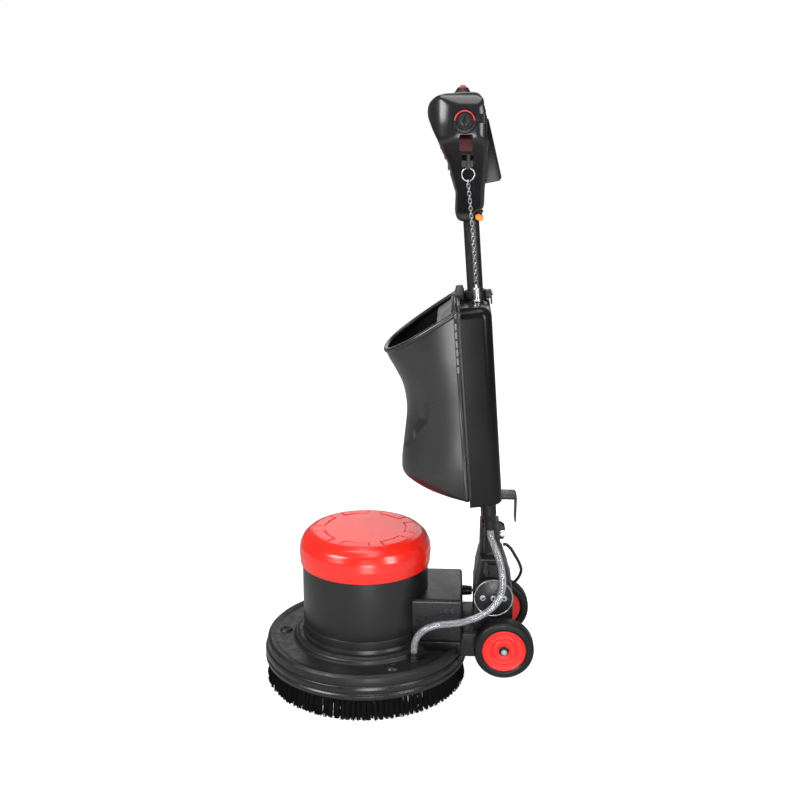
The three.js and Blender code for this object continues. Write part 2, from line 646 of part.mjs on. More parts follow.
function consoleShell() {
  const front = prismX(mirroredOutline(consoleHalf), 100, 280);
  const limbs = overlapOf(prismY(consoleSide, -200, 200), front);
  const wedge = prismY([[236, 1172], [243, 1172], [268, 1061], [266, 1056], [236, 1056]], -42, 42);
  const headRoom = prismY(headInside, -38, 38);
  const tubeBore = onHandle(rodZ(0, 0, TUBE_RADIUS + GAP, 760, 880));
  const leverRoom = block(214, 260, -9, 9, 980, 1016);
  const buttonHole = rodZ(BUTTON_X, 0, 7, 1200, 1230, 16);
  const holes = [[-200, -180, -170], [180, 200, 170]].flatMap(([low, high, window]) => [
    rodY(GRIP.x, GRIP.z, 22, low, high, 24),
    block(187, 215, Math.min(low, window), Math.max(high, window), 1121, 1151),
  ]);
  const strapSlot = block(197, 213, -168, -134, 1080, 1117);
  const pockets = [consolePocket(-1), consolePocket(1)];
  const tools = [...pockets, headRoom, tubeBore, leverRoom, buttonHole, strapSlot, ...holes];
  return cut(join(limbs, wedge), ...tools);
}

function grip(side) {
  const ends = [side * (HEAD_HALF_WIDTH + GAP), side * (CONSOLE_HALF_WIDTH - 1)];
  return rodY(GRIP.x, GRIP.z, GRIP.radius, Math.min(...ends), Math.max(...ends), 24);
}

function capRing(side) {
  const bore = GRIP.radius + GAP;
  const profile = [[bore, 183], [21.5, 183], [21.5, 187], [19.5, 189], [bore, 189]];
  return turnedY(profile.map(([radius, y]) => [radius, side * y]), GRIP.x, GRIP.z, 24);
}

function startLever(side) {
  const bar = [side * 54, side * 126];
  const pin = [side * (HEAD_HALF_WIDTH + GAP), side * 132];
  const outline = [[160, 1137], [190, 1128], [213, 1127], [214, 1144], [206, 1147], [190, 1146], [172, 1149],
    [162, 1149]];
  const paddle = prismY(outline, Math.min(...bar), Math.max(...bar));
  return join(paddle, rodY(LEVER_PIVOT.x, LEVER_PIVOT.z, 3.5, Math.min(...pin), Math.max(...pin), 12));
}

function buttonBase() {
  const outline = [[7, 1217.3], [13.5, 1217.3], [13.5, 1220], [9.5, 1229], [7, 1229]];
  return turned(outline, 24).translate(BUTTON_X, 0, 0);
}

function safetyButton() {
  const outline = [[0, 1203], [6.3, 1203], [6.3, 1233], [4, 1236], [0, 1236]];
  return turned(outline, 16).translate(BUTTON_X, 0, 0);
}

// The tilt lever hooks under the lock rod's head through a slot in the tube, and its tip wraps round the tube.
function tiltLever() {
  const { x, z } = TILT_PIVOT;
  const armOutline = [[217.6, 995], [x, z - 6], [x + 4, z + 1], [x, z + 3.5], [217.6, 999.2]];
  const tipOutline = [[223, 996], [232, 999], [241, 991], [236, 985], [225, 989]];
  const arm = prismY(armOutline, -4.5, 4.5);
  const tip = prismY(tipOutline, -28, 28);
  const round = onHandle(rodZ(0, 0, 18.3, 740, 840));
  return join(cut(tip, round), arm);
}

// The lever that lifts the drain valve, in the near hand opening.
function solutionLever() {
  const { x, y, z } = SOLUTION_PIVOT;
  const outline = [[x - 4, z - 3], [236, z - 3], [238, z], [234, z + 3], [x - 4, z + 3]];
  return prismY(outline, y - 5, y + 5);
}

// The chain from the valve rod up to a ring, and the strap that hangs the ring from the lever.
function pullChain() {
  const middle = RING.radius - RING.wire;
  const torus = new THREE.TorusGeometry(middle, RING.wire, 6, 16).rotateX(Math.PI / 2);
  const ring = torus.translate(RING.x, RING.y, RING.z);
  const low = [225.2, -40, 862];
  const high = [RING.x, RING.y, RING.z - RING.radius + 1];
  const chain = tube([low, [219.5, -69, 930], [212, -104, 1005], high], 3, 8, 8);
  const left = RING.x - STRAP_HALF_WIDTH;
  const right = RING.x + STRAP_HALF_WIDTH;
  const { y, z } = SOLUTION_PIVOT;
  const band = block(left, right, y - 8, y + 8, z - 6.5, z + 6.5);
  const plateRoom = block(left - 5, right + 5, y - 6, y + 6, z - 4.3, z + 4.3);
  const tail = block(left, right, y - 1.5, y + 1.5, RING.z + middle - 3, z - 5.5);
  return join(ring, chain, cut(band, plateRoom), tail);
}

// ---- Hose and cable ----
const hoseRoute = [
  [263.2, -40, 349.1], [264.5, -40.5, 334], [271, -48, 318], [281, -61, 295], [288, -74, 268],
  [289.5, -83, 241], [283, -91, 217], [266, -98, 197], [240, -104, 181], [208, -110, 172],
  [180, -115, 169.5], [156, -119, 168], [133, -121.5, 160], [116.5, -122, 144], [110, -122, 126],
  [BARB.x, BARB.y, BARB.top],
];
const cableRoute = [
  [292.5, 0, 300], [298.5, 1, 299.5], [308, 5, 290], [318.5, 15, 270], [329, 30, 246], [335, 48, 222],
  [332, 64, 200], [321, 74, 180], [302, 77, 168], [278, 77, 163], [257, 74, 162], [244, 70, 162],
  [GLAND.end + GAP, GLAND.y, GLAND.z],
];
const solutionHose = () => tube(hoseRoute, HOSE_RADIUS, 8, 34);
const motorCable = () => tube(cableRoute, CABLE_RADIUS, 8, 30);

// ---- Assembly ----
function group(...pieces) {
  const assembled = new THREE.Group();
  assembled.add(...pieces);
  return assembled;
}

const base = group(
  piece('base_deck', baseDeck(), 'castBlack'),
  piece('bumper_ring', bumperRing(), 'rubber'),
  piece('wheel_frame', wheelFrame(), 'castBlack'),
  piece('pivot_pin', pivotPin(), 'steel'),
  piece('pivot_disc_near', pivotDisc(-1), 'steel'),
  piece('pivot_disc_far', pivotDisc(1), 'steel'),
  piece('axle', axleRod(), 'steel'),
  piece('box_cover', boxCover(), 'satinBlack'),
  piece('run_capacitor', runCapacitor(), 'lidGrey'),
  piece('cable_gland', cableGland(), 'softBlack'),
  piece('hose_barb', hoseBarb(), 'softBlack'),
);

const drive = group(
  piece('motor_shroud', motorShroud(), 'satinBlack'),
  piece('motor_hood', motorHood(), 'hoodRed'),
  piece('motor_casing', motorCasing(), 'steel'),
  piece('stator', stator(), 'copper'),
  piece('lower_shield', lowerShield(), 'steel'),
  piece('lower_bearing', lowerBearing(), 'chrome'),
  piece('gear_housing', gearHousing(), 'castBlack'),
  piece('ring_gear', ringGear(), 'steel'),
  piece('output_bearing', outputBearing(), 'chrome'),
  piece('motor_shaft', motorShaft(), 'steel'),
  piece('rotor_core', rotorCore(), 'steel'),
  piece('cooling_fan', coolingFan(), 'softBlack'),
  piece('planet_carrier', planetCarrier(), 'steel'),
  ...Array.from({ length: PLANET_COUNT }, (_, i) => piece(`planet_gear_${i + 1}`, planetGear(i), 'brass')),
);

const brush = group(
  piece('bristle_ring', bristleRing(), 'bristle'),
  piece('brush_block', brushBlock(), 'softBlack'),
  piece('drive_plate', drivePlate(), 'steel'),
);

const wheels = group(...[['near', -1], ['far', 1]].flatMap(([name, side]) => [
  piece(`tyre_${name}`, tyre(side), 'rubber'),
  piece(`wheel_hub_${name}`, wheelHub(side), 'hubRed'),
]));

const handle = group(
  piece('handle_tube', handleTube(), 'satinBlack'),
  piece('tilt_casting', tiltCasting(), 'castBlack'),
  piece('clamp_bolt', clampBolt(), 'steel'),
  piece('lock_rod', lockRod(), 'steel'),
  piece('cord_hook', cordHook(), 'satinBlack'),
  piece('tank_front', tankFront(), 'tankGrey'),
  piece('tank_rear', tankRear(), 'tankGrey'),
  piece('filler_cover', fillerCover(), 'lidGrey'),
  piece('tank_clamp', tankClamp(), 'softBlack'),
  piece('valve_gland', valveGland(), 'chrome'),
  piece('outlet_spout', outletSpout(), 'softBlack'),
  piece('valve_rod', valveRod(), 'steel'),
  piece('pull_chain', pullChain(), 'chrome'),
);

const consoleGroup = group(
  piece('console_shell', consoleShell(), 'satinBlack'),
  piece('button_base', buttonBase(), 'softBlack'),
  piece('safety_button', safetyButton(), 'hoodRed'),
  piece('tilt_lever', tiltLever(), 'tipOrange'),
  piece('solution_lever', solutionLever(), 'softBlack'),
  ...[['near', -1], ['far', 1]].flatMap(([name, side]) => [
    piece(`grip_${name}`, grip(side), 'softBlack'),
    piece(`cap_ring_${name}`, capRing(side), 'hoodRed'),
    piece(`start_lever_${name}`, startLever(side), 'leverRed'),
  ]),
);

const lines = group(
  piece('solution_hose', solutionHose(), 'clearHose'),
  piece('motor_cable', motorCable(), 'softBlack'),
);

const machine = group(base, drive, brush, wheels, handle, consoleGroup, lines);
machine.position.x = -FOOTPRINT_MIDDLE;

export default group(machine);
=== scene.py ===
"""Single-disc floor scrubbing machine: the looks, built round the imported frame. Metres, +Z up."""
import math
import random

import bmesh
import bpy
from mathutils import Matrix, Vector


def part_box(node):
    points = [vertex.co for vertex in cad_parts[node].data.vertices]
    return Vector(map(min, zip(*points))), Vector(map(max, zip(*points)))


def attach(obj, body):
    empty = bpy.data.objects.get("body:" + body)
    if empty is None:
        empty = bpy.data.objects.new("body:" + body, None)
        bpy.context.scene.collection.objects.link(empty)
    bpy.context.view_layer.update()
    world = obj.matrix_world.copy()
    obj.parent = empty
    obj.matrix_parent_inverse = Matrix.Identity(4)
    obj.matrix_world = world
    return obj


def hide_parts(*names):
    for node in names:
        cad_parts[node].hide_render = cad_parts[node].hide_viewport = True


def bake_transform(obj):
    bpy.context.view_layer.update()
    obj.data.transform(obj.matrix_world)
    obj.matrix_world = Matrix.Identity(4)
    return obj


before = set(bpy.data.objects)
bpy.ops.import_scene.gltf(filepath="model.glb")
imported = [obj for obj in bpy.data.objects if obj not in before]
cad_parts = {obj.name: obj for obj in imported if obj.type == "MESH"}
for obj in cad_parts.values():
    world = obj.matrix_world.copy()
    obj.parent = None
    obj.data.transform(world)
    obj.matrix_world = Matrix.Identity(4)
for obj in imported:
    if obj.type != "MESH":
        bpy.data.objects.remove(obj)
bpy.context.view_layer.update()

MM = 0.001
LEAN = math.radians(4.3)          # the parked handle leans this far forward
SIDES = (("near", -1), ("far", 1))


def middle_of(node):
    low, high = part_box(node)
    return (low + high) / 2


# Shapes are drawn in millimetres in one of two frames: the machine's, about the brush's axis on the floor,
# and the handle's, with z along the tube from the pivot.
BRUSH = middle_of("bristle_ring")
PIVOT = middle_of("pivot_pin")
AXLE = middle_of("axle")
BASE = Matrix.Translation((BRUSH.x, BRUSH.y, 0)) @ Matrix.Scale(MM, 4)
HANDLE = Matrix.Translation(PIVOT) @ Matrix.Rotation(-LEAN, 4, "Y") @ Matrix.Scale(MM, 4)
PIVOT_X, PIVOT_Z = (PIVOT.x - BRUSH.x) / MM, PIVOT.z / MM
AXLE_X, AXLE_Z = (AXLE.x - BRUSH.x) / MM, AXLE.z / MM

ALONG_X = Matrix.Rotation(math.pi / 2, 4, "Y")               # turns a part made about z to lie along x
GLAND = Matrix.Translation((0, 69, 162)) @ ALONG_X           # where the motor's cable enters the box
BARB = Matrix.Translation((109, -122, 0))                    # where the hose enters the deck
DRAIN = Matrix.Translation((2, -40, 0))                      # the drain valve's axis in the handle's frame
BUTTON = Matrix.Translation((194, 0, 0))                     # the safety button's axis


def place(x, y, z):
    return BASE @ Vector((x, y, z))


# ---- Camera ----
def make_camera():
    data = bpy.data.cameras.new("camera")
    data.lens = 51.57
    data.sensor_width = 36
    camera = bpy.data.objects.new("camera", data)
    camera.location = place(182.9, -2268.2, 1227.5)
    camera.rotation_euler = (math.radians(90 - 15.13), 0, math.radians(2.75))
    bpy.context.scene.collection.objects.link(camera)
    bpy.context.scene.camera = camera


make_camera()


# ---- Outlines ----
def ease(t):
    t = max(0.0, min(1.0, t))
    return t * t * (3 - 2 * t)


def mirrored(side, low, high):
    """A range along y that is given for the far side, on the side asked for."""
    return sorted((side * low, side * high))


def fillet(points, radius, steps=4, closed=True):
    """The polyline with every corner turned into an arc of about that radius, or as large as fits."""
    count = len(points)
    out = []
    for i, point in enumerate(points):
        if not closed and i in (0, count - 1):
            out.append(tuple(point))
            continue
        here = Vector(point)
        before, after = Vector(points[i - 1]) - here, Vector(points[(i + 1) % count]) - here
        reach = min(before.length, after.length) * 0.48
        turn = before.angle(after, math.pi)
        if turn > math.pi - 0.02 or reach < 1e-6:
            out.append(tuple(point))
            continue
        back = min(reach, radius / math.tan(turn / 2))
        start, end = here + before.normalized() * back, here + after.normalized() * back
        for k in range(steps + 1):
            t = k / steps
            out.append(tuple(start * (1 - t) ** 2 + here * 2 * t * (1 - t) + end * t ** 2))
    return out


def arc(x, z, radius, start, end, steps):
    turns = [math.radians(start + (end - start) * i / steps) for i in range(steps + 1)]
    return [(x + radius * math.cos(a), z + radius * math.sin(a)) for a in turns]


def spline(points, per=6):
    """A smooth curve through the points (centripetal Catmull-Rom, mixed in three rounds of pairs)."""
    pts = [Vector(p) for p in points]
    ends = [pts[0] * 2 - pts[1], *pts, pts[-1] * 2 - pts[-2]]
    out = []
    for group in zip(ends, ends[1:], ends[2:], ends[3:]):
        knots = [0.0]
        for p, q in zip(group, group[1:]):
            knots.append(knots[-1] + max((q - p).length, 1e-6) ** 0.5)
        for k in range(per):
            t = knots[1] + (knots[2] - knots[1]) * k / per
            level = group
            for spans in (((0, 1), (1, 2), (2, 3)), ((0, 2), (1, 3)), ((1, 2),)):
                level = [
                    (p * (knots[high] - t) + q * (t - knots[low])) / (knots[high] - knots[low])
                    for p, q, (low, high) in zip(level, level[1:], spans)
                ]
            out.append(level[0])
    out.append(pts[-1])
    return out


def length_of(path):
    return sum((b - a).length for a, b in zip(path, path[1:]))


def lookup(table, x):
    """The other columns of a table at x in its first column, straight between the rows."""
    x = max(table[0][0], min(table[-1][0], x))
    for low, high in zip(table, table[1:]):
        if x <= high[0]:
            t = (x - low[0]) / max(high[0] - low[0], 1e-6)
            return [a + (b - a) * t for a, b in zip(low[1:], high[1:])]


# ---- Solids, as (vertices, faces) ----
def revolve(profile, segments, closed):
    """A profile of (radius, z) points turned about z. An open profile starts and ends on the axis."""
    count = len(profile)
    verts = [
        (r * math.cos(2 * math.pi * s / segments), r * math.sin(2 * math.pi * s / segments), z)
        for s in range(segments) for r, z in profile
    ]
    faces = []
    for s in range(segments):
        n = (s + 1) % segments
        for i in range(count if closed else count - 1):
            j = (i + 1) % count
            faces.append((s * count + i, n * count + i, n * count + j, s * count + j))
    return verts, faces


def ring(profile, segments, bend=0, steps=4):
    """A ring turned from a closed profile, with its corners rounded by bend."""
    return revolve(fillet(profile, bend, steps) if bend else profile, segments, True)


def solid(profile, segments, bend=0, steps=4):
    """A solid turned from a profile that starts and ends on the axis, with its corners rounded by bend."""
    return revolve(fillet(profile, bend, steps, closed=False) if bend else profile, segments, False)


def rod(radius, low, high, segments):
    return solid([(0, low), (radius, low), (radius, high), (0, high)], segments)


def about_y(shape, x, z):
    """Turns a shape made about z to lie about the line along y through (x, z); its z becomes y."""
    verts, faces = shape
    return [(v[0] + x, v[2], v[1] + z) for v in verts], faces


def lying(kind, side, profile, x, z, segments, bend=0, steps=4):
    """A ring or a solid along y through (x, z), its profile of (radius, y) given for the far side."""
    return about_y(kind([(r, side * y) for r, y in profile], segments, bend, steps), x, z)


def prism(outline, low, high, axis="Y"):
    """An outline carried along an axis. It is (x, z) for Y, (y, z) for X and (x, y) for Z."""
    count = len(outline)
    if axis == "X":
        verts = [(t, a, b) for t in (low, high) for a, b in outline]
    elif axis == "Y":
        verts = [(a, t, b) for t in (low, high) for a, b in outline]
    else:
        verts = [(a, b, t) for t in (low, high) for a, b in outline]
    faces = [tuple(range(count)), tuple(range(2 * count - 1, count - 1, -1))]
    faces += [(i, (i + 1) % count, (i + 1) % count + count, i + count) for i in range(count)]
    return verts, faces


def slab(x0, x1, z0, z1, low, high, bend, steps=4, axis="Y"):
    """A plate from x0 to x1 and z0 to z1 with round corners, carried from low to high along the axis."""
    return prism(fillet([(x0, z0), (x1, z0), (x1, z1), (x0, z1)], bend, steps), low, high, axis)


def block(x0, x1, y0, y1, z0, z1):
    return prism([(x0, y0), (x1, y0), (x1, y1), (x0, y1)], z0, z1, "Z")


def grid(rows, around=False, caps=False):
    """A surface through rows of points; around joins each row's end to its start."""
    wide = len(rows[0])
    verts = [tuple(p) for row in rows for p in row]
    faces = []
    for r in range(len(rows) - 1):
        for i in range(wide if around else wide - 1):
            j = (i + 1) % wide
            faces.append((r * wide + i, r * wide + j, (r + 1) * wide + j, (r + 1) * wide + i))
    if caps:
        faces.append(tuple(range(wide))[::-1])
        faces.append(tuple((len(rows) - 1) * wide + i for i in range(wide)))
    return verts, faces


def sweep(path, radius, sides=12, looped=False):
    """A round bar along a path, its section turned as little as possible on the way."""
    pts = [Vector(p) for p in path]
    count = len(pts)
    tangents = []
    for i in range(count):
        before = pts[i - 1] if looped or i else pts[i]
        after = pts[(i + 1) % count] if looped or i < count - 1 else pts[i]
        tangents.append((after - before).normalized())
    side = tangents[0].orthogonal().normalized()
    turns = [2 * math.pi * k / sides for k in range(sides)]
    rows = []
    for point, along in zip(pts, tangents):
        side = (side - along * side.dot(along)).normalized()
        up = along.cross(side)
        rows.append([point + side * radius * math.cos(a) + up * radius * math.sin(a) for a in turns])
    if looped:
        rows.append(rows[0])
    return grid(rows, around=True, caps=not looped)


def joined(*shapes):
    verts, faces = [], []
    for v, f in shapes:
        start = len(verts)
        verts += [tuple(p) for p in v]
        faces += [tuple(i + start for i in face) for face in f]
    return verts, faces


def moved(shape, matrix):
    verts, faces = shape
    return [tuple(matrix @ Vector(v)) for v in verts], faces


# ---- Pieces ----
def clean(bm, weld=1e-4):
    bmesh.ops.remove_doubles(bm, verts=bm.verts, dist=weld)
    bmesh.ops.dissolve_degenerate(bm, edges=bm.edges, dist=weld / 2)
    bmesh.ops.recalc_face_normals(bm, faces=bm.faces)


def smooth_by_angle(mesh, degrees):
    bm = bmesh.new()
    bm.from_mesh(mesh)
    for face in bm.faces:
        face.smooth = True
    for edge in bm.edges:
        edge.smooth = edge.is_manifold and edge.calc_face_angle(0) < math.radians(degrees)
    bm.to_mesh(mesh)
    bm.free()


def build(name, shape, where=BASE, bevel=0, segments=3, sharp=40, limit=30):
    """An object from a shape in millimetres in the frame where. Edges over limit degrees are bevelled, and
    edges over sharp degrees stay sharp in the shading."""
    verts, faces = shape
    bm = bmesh.new()
    added = [bm.verts.new(v) for v in verts]
    for face in faces:
        if len(set(face)) > 2:
            bm.faces.new([added[i] for i in face])
    clean(bm)
    if bevel:
        hard = [e for e in bm.edges if e.is_manifold and e.calc_face_angle(0) > math.radians(limit)]
        bmesh.ops.bevel(bm, geom=hard, offset=bevel, segments=segments, profile=0.5, affect="EDGES",
                        clamp_overlap=True)
        clean(bm)
    bm.transform(where)
    mesh = bpy.data.meshes.new(name)
    bm.to_mesh(mesh)
    bm.free()
    smooth_by_angle(mesh, sharp)
    made = bpy.data.objects.new(name, mesh)
    bpy.context.scene.collection.objects.link(made)
    return made


def evaluated(piece):
    """Applies a piece's modifiers to its mesh."""
    graph = bpy.context.evaluated_depsgraph_get()
    mesh = bpy.data.meshes.new_from_object(piece.evaluated_get(graph))
    piece.modifiers.clear()
    old = piece.data
    piece.data = mesh
    mesh.name = piece.name
    bpy.data.meshes.remove(old)


def boolean(piece, operation, *tools):
    for tool in tools:
        modifier = piece.modifiers.new("cut", "BOOLEAN")
        modifier.operation = operation
        modifier.solver = "EXACT"
        modifier.object = tool
        evaluated(piece)
        bpy.data.objects.remove(tool)
    return piece


def cut(piece, *shapes, where=BASE):
    """Takes shapes in millimetres in the frame where out of a piece."""
    boolean(piece, "DIFFERENCE", *[build("tool", shape, where) for shape in shapes])


def soften(piece, voxel, rounds):
    """Rounds every edge of a piece over a few voxels."""
    remesh = piece.modifiers.new("voxels", "REMESH")
    remesh.mode = "VOXEL"
    remesh.voxel_size = voxel * MM
    smooth = piece.modifiers.new("smooth", "SMOOTH")
    smooth.factor = 0.5
    smooth.iterations = rounds
    evaluated(piece)
    return piece


def show(piece, body, look, *nodes, slot=None):
    """Puts a finished piece on its body, with its look and the CAD nodes that it stands for."""
    piece.data.materials.clear()
    piece.data.materials.append(look)
    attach(piece, body)
    if nodes:
        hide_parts(*nodes)


def add(name, shape, body, look, *nodes, where=BASE, slot=None, **how):
    """Builds a piece that needs no cuts, and shows it."""
    show(build(name, shape, where, **how), body, look, *nodes, slot=slot)


# ---- Finishes ----
GRAIN_DEPTH = 0.0002
COAT_ROUGHNESS = 0.12
WORN_EDGES = (0.53, 0.62)           # the pointiness at which an edge starts to wear, and is all worn
WORN_SPOTS = (0.45, 0.62)
DRIFT = (0.3, 0.7)                  # the part of a noise's range that a finish drifts over


def set_inputs(node, **values):
    """Sets a shader node's inputs by name, with _ for a space, and returns the node."""
    for name, value in values.items():
        node.inputs[name.replace("_", " ")].default_value = value
    return node


def new_material(name):
    """A material with its nodes, its links and its main shader."""
    material = bpy.data.materials.new(name)
    material.use_nodes = True
    tree = material.node_tree
    return material, tree.nodes, tree.links, tree.nodes["Principled BSDF"]


def finish(name, color, rough, metallic=0.0, grain=(900, 0.05), mottle=0.15, patch=60, coat=0.0,
           worn=None, brushed=(1, 1, 1), specular=0.5, spread=0.12):
    """A moulded, painted or metal finish. Grain is the scale and depth of its bump, mottle how far its colour
    drifts, patch the scale of that drift, spread how far its roughness drifts, and worn the colour of its
    edges."""
    material, nodes, links, shader = new_material(name)
    set_inputs(shader, Metallic=metallic, Coat_Weight=coat, Coat_Roughness=COAT_ROUGHNESS,
               Specular_IOR_Level=specular)
    where = nodes.new("ShaderNodeTexCoord")

    def noise(scale, detail, stretch=(1, 1, 1)):
        mapping = set_inputs(nodes.new("ShaderNodeMapping"), Scale=stretch)
        links.new(where.outputs["Object"], mapping.inputs["Vector"])
        texture = set_inputs(nodes.new("ShaderNodeTexNoise"), Scale=scale, Detail=detail)
        links.new(mapping.outputs["Vector"], texture.inputs["Vector"])
        return texture.outputs["Fac"]

    def ramp(source, low, high, at=DRIFT):
        node = nodes.new("ShaderNodeMapRange")
        set_inputs(node, From_Min=at[0], From_Max=at[1], To_Min=low, To_Max=high)
        links.new(source, node.inputs["Value"])
        return node.outputs["Result"]

    def mix(factor, first, second):
        node = nodes.new("ShaderNodeMix")
        node.data_type = "RGBA"
        links.new(factor, node.inputs["Factor"])
        for socket, value in (("A", first), ("B", second)):
            target = [s for s in node.inputs if s.name == socket and s.type == "RGBA"][0]
            if hasattr(value, "is_linked"):
                links.new(value, target)
            else:
                target.default_value = (*value, 1)
        return [s for s in node.outputs if s.type == "RGBA"][0]

    dark = [c * (1 - mottle) for c in color]
    light = [min(1, c * (1 + mottle) + mottle * 0.004) for c in color]
    tone = mix(ramp(noise(patch, 4), 0, 1), dark, light)
    if worn:
        geometry = nodes.new("ShaderNodeNewGeometry")
        edge = ramp(geometry.outputs["Pointiness"], 0, 1, WORN_EDGES)
        broken = nodes.new("ShaderNodeMath")
        broken.operation = "MULTIPLY"
        links.new(edge, broken.inputs[0])
        links.new(ramp(noise(patch * 6, 6), 0, 1, WORN_SPOTS), broken.inputs[1])
        tone = mix(broken.outputs["Value"], tone, worn)
    links.new(tone, shader.inputs["Base Color"])
    links.new(ramp(noise(patch * 2.3, 5), max(0.02, rough - spread), min(1, rough + spread)),
              shader.inputs["Roughness"])
    bump = set_inputs(nodes.new("ShaderNodeBump"), Strength=grain[1], Distance=GRAIN_DEPTH)
    links.new(noise(grain[0], 3, brushed), bump.inputs["Height"])
    links.new(bump.outputs["Normal"], shader.inputs["Normal"])
    return material


CAST = finish("cast_black", (0.0105, 0.0107, 0.0115), 0.42, grain=(700, 0.045), mottle=0.08, patch=30,
              worn=(0.02, 0.02, 0.021), specular=0.42)
STEEL_BLACK = finish("powder_black", (0.009, 0.0092, 0.01), 0.34, grain=(900, 0.03),
                     mottle=0.06, worn=(0.016, 0.016, 0.017), specular=0.45)
SHROUD = finish("shroud_black", (0.008, 0.0083, 0.0088), 0.32, grain=(700, 0.015), mottle=0.04,
                patch=12, spread=0.03)
BUMPER = finish("bumper_rubber", (0.011, 0.0112, 0.012), 0.27, grain=(700, 0.014), mottle=0.05, patch=30,
                spread=0.04)
HOOD = finish("hood_red", (0.76, 0.016, 0.008), 0.25, grain=(500, 0.012), mottle=0.02, patch=9, coat=0.35,
              spread=0.03)
HUB = finish("hub_red", (0.82, 0.02, 0.016), 0.36, grain=(700, 0.04), mottle=0.04, spread=0.05)
ABS = finish("console_abs", (0.011, 0.011, 0.0125), 0.21, grain=(600, 0.008), mottle=0.03,
             patch=8, spread=0.02)
BOX = finish("box_black", (0.0085, 0.0087, 0.0093), 0.28, grain=(700, 0.012), mottle=0.04, patch=20,
             spread=0.04, specular=0.4)
TRIM = finish("trim_black", (0.006, 0.006, 0.0066), 0.4, grain=(1200, 0.06), mottle=0.1, specular=0.35)
TANK = finish("tank_grey", (0.017, 0.0172, 0.0182), 0.27, grain=(500, 0.008), mottle=0.01, patch=5,
              spread=0.006, specular=0.55)
# Painted shade: a darker copy of the tank's grey for its rear half, standing for the shade on that side; the
# console's rear panel takes it too.
SHADED_GREY = finish("grey_painted_shade", (0.0045, 0.0046, 0.005), 0.22, grain=(500, 0.008), mottle=0.03,
               patch=5, spread=0.02, specular=0.24)
COVER = finish("cover_grey", (0.056, 0.058, 0.061), 0.45, grain=(900, 0.06), mottle=0.04, patch=20)
POST = finish("post_grey", (0.07, 0.072, 0.076), 0.4, grain=(900, 0.06), mottle=0.05, patch=30)
# Painted shade: the start levers' red, darkened to how it looks in the shadow inside the limbs.
SHADED_LEVER_RED = finish("lever_red", (0.055, 0.003, 0.004), 0.35, grain=(900, 0.06), mottle=0.1, specular=0.25)
ARC_RED = finish("ring_red", (0.55, 0.035, 0.03), 0.32, grain=(900, 0.04),
                 mottle=0.05, spread=0.05)
ORANGE = finish("lever_orange", (0.9, 0.27, 0.01), 0.38, grain=(900, 0.06), mottle=0.05)
TYRE = finish("tyre_rubber", (0.0055, 0.0055, 0.006), 0.4, grain=(900, 0.12), patch=45,
              worn=(0.01, 0.01, 0.01), specular=0.3)
NYLON = finish("bristle_nylon", (0.0014, 0.0014, 0.0016), 0.55, grain=(1500, 0.06),
               mottle=0.3, patch=90, specular=0.08)
BLOCK = finish("block_black", (0.007, 0.007, 0.0075), 0.5, grain=(900, 0.1))
ZINC = finish("zinc_steel", (0.5, 0.51, 0.53), 0.3, metallic=1.0, grain=(900, 0.06), mottle=0.08, patch=80)
BRIGHT = finish("bright_steel", (0.78, 0.78, 0.8), 0.3, metallic=1.0, grain=(900, 0.03),
                mottle=0.05, spread=0.05)
NICKEL = finish("chain_nickel", (0.5, 0.5, 0.51), 0.26, metallic=1.0, mottle=0.1, patch=120)
ROLLED = finish("motor_steel", (0.36, 0.37, 0.39), 0.4, metallic=1.0, grain=(500, 0.2), brushed=(1, 1, 12))
COPPER = finish("winding_copper", (0.5, 0.2, 0.09), 0.4, metallic=1.0, grain=(500, 0.6), brushed=(1, 1, 18))
BRONZE = finish("gear_bronze", (0.55, 0.38, 0.14), 0.32, metallic=1.0, grain=(900, 0.15))
GEAR = finish("gear_steel", (0.33, 0.34, 0.36), 0.35, metallic=1.0, grain=(900, 0.15))
CABLE = finish("cable_black", (0.012, 0.012, 0.013), 0.5, grain=(1500, 0.12), mottle=0.2)
CAN = finish("capacitor_can", (0.5, 0.5, 0.52), 0.35, metallic=1.0, grain=(900, 0.1))


def clear_hose():
    """Soft clear PVC: a little blue, glossy, and hazed by the water it carries."""
    material = finish("hose_pvc", (0.93, 0.95, 1.0), 0.05, grain=(60, 0.01), mottle=0.02,
                      spread=0.02)
    set_inputs(material.node_tree.nodes["Principled BSDF"], Transmission_Weight=0.9, IOR=1.45)
    return material


HOSE = clear_hose()


# ---- Hose and cable ----
HOSE_POINTS = [
    (263.2, -40, 349.1), (264.5, -40.5, 334), (271, -48, 318), (281, -61, 295), (288, -74, 268),
    (289.5, -83, 241), (283, -91, 217), (266, -98, 197), (240, -104, 181), (208, -110, 172),
    (180, -115, 169.5), (156, -119, 168), (133, -121.5, 160), (116.5, -122, 144), (110, -122, 126),
    (109, -122, 107),
]
HOSE_RADIUS, HOSE_BORE = 7.2, 5.4
CABLE_POINTS = [
    (292.5, 0, 300), (298.5, 1, 299.5), (308, 5, 290), (318.5, 15, 270), (329, 30, 246), (335, 48, 222),
    (332, 64, 200), (321, 74, 180), (302, 77, 168), (278, 77, 163), (257, 74, 162), (244, 70, 162),
    (230.3, 69, 162),
]
CABLE_RADIUS = 3.4


def tube_wall(path, outer, inner, sides):
    """A hollow tube: an outer and an inner skin, joined at both ends."""
    out_verts, out_faces = sweep(path, outer, sides)
    in_verts, in_faces = sweep(path, inner, sides)
    count = len(out_verts)
    faces = list(out_faces[:-2]) + [tuple(i + count for i in reversed(f)) for f in in_faces[:-2]]
    for start in (0, count - sides):
        for i in range(sides):
            j = (i + 1) % sides
            faces.append((start + i, start + j, start + j + count, start + i + count))
    return out_verts + in_verts, faces


def lay_line(name, points, radius, look, node, inner=0):
    """A line from the handle to the base."""
    path = spline(points)
    shape = tube_wall(path, radius, inner, 24) if inner else sweep(path, radius, 16)
    line = build(name, shape, sharp=60)
    line.data.materials.append(look)
    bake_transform(line)
    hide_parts(node)


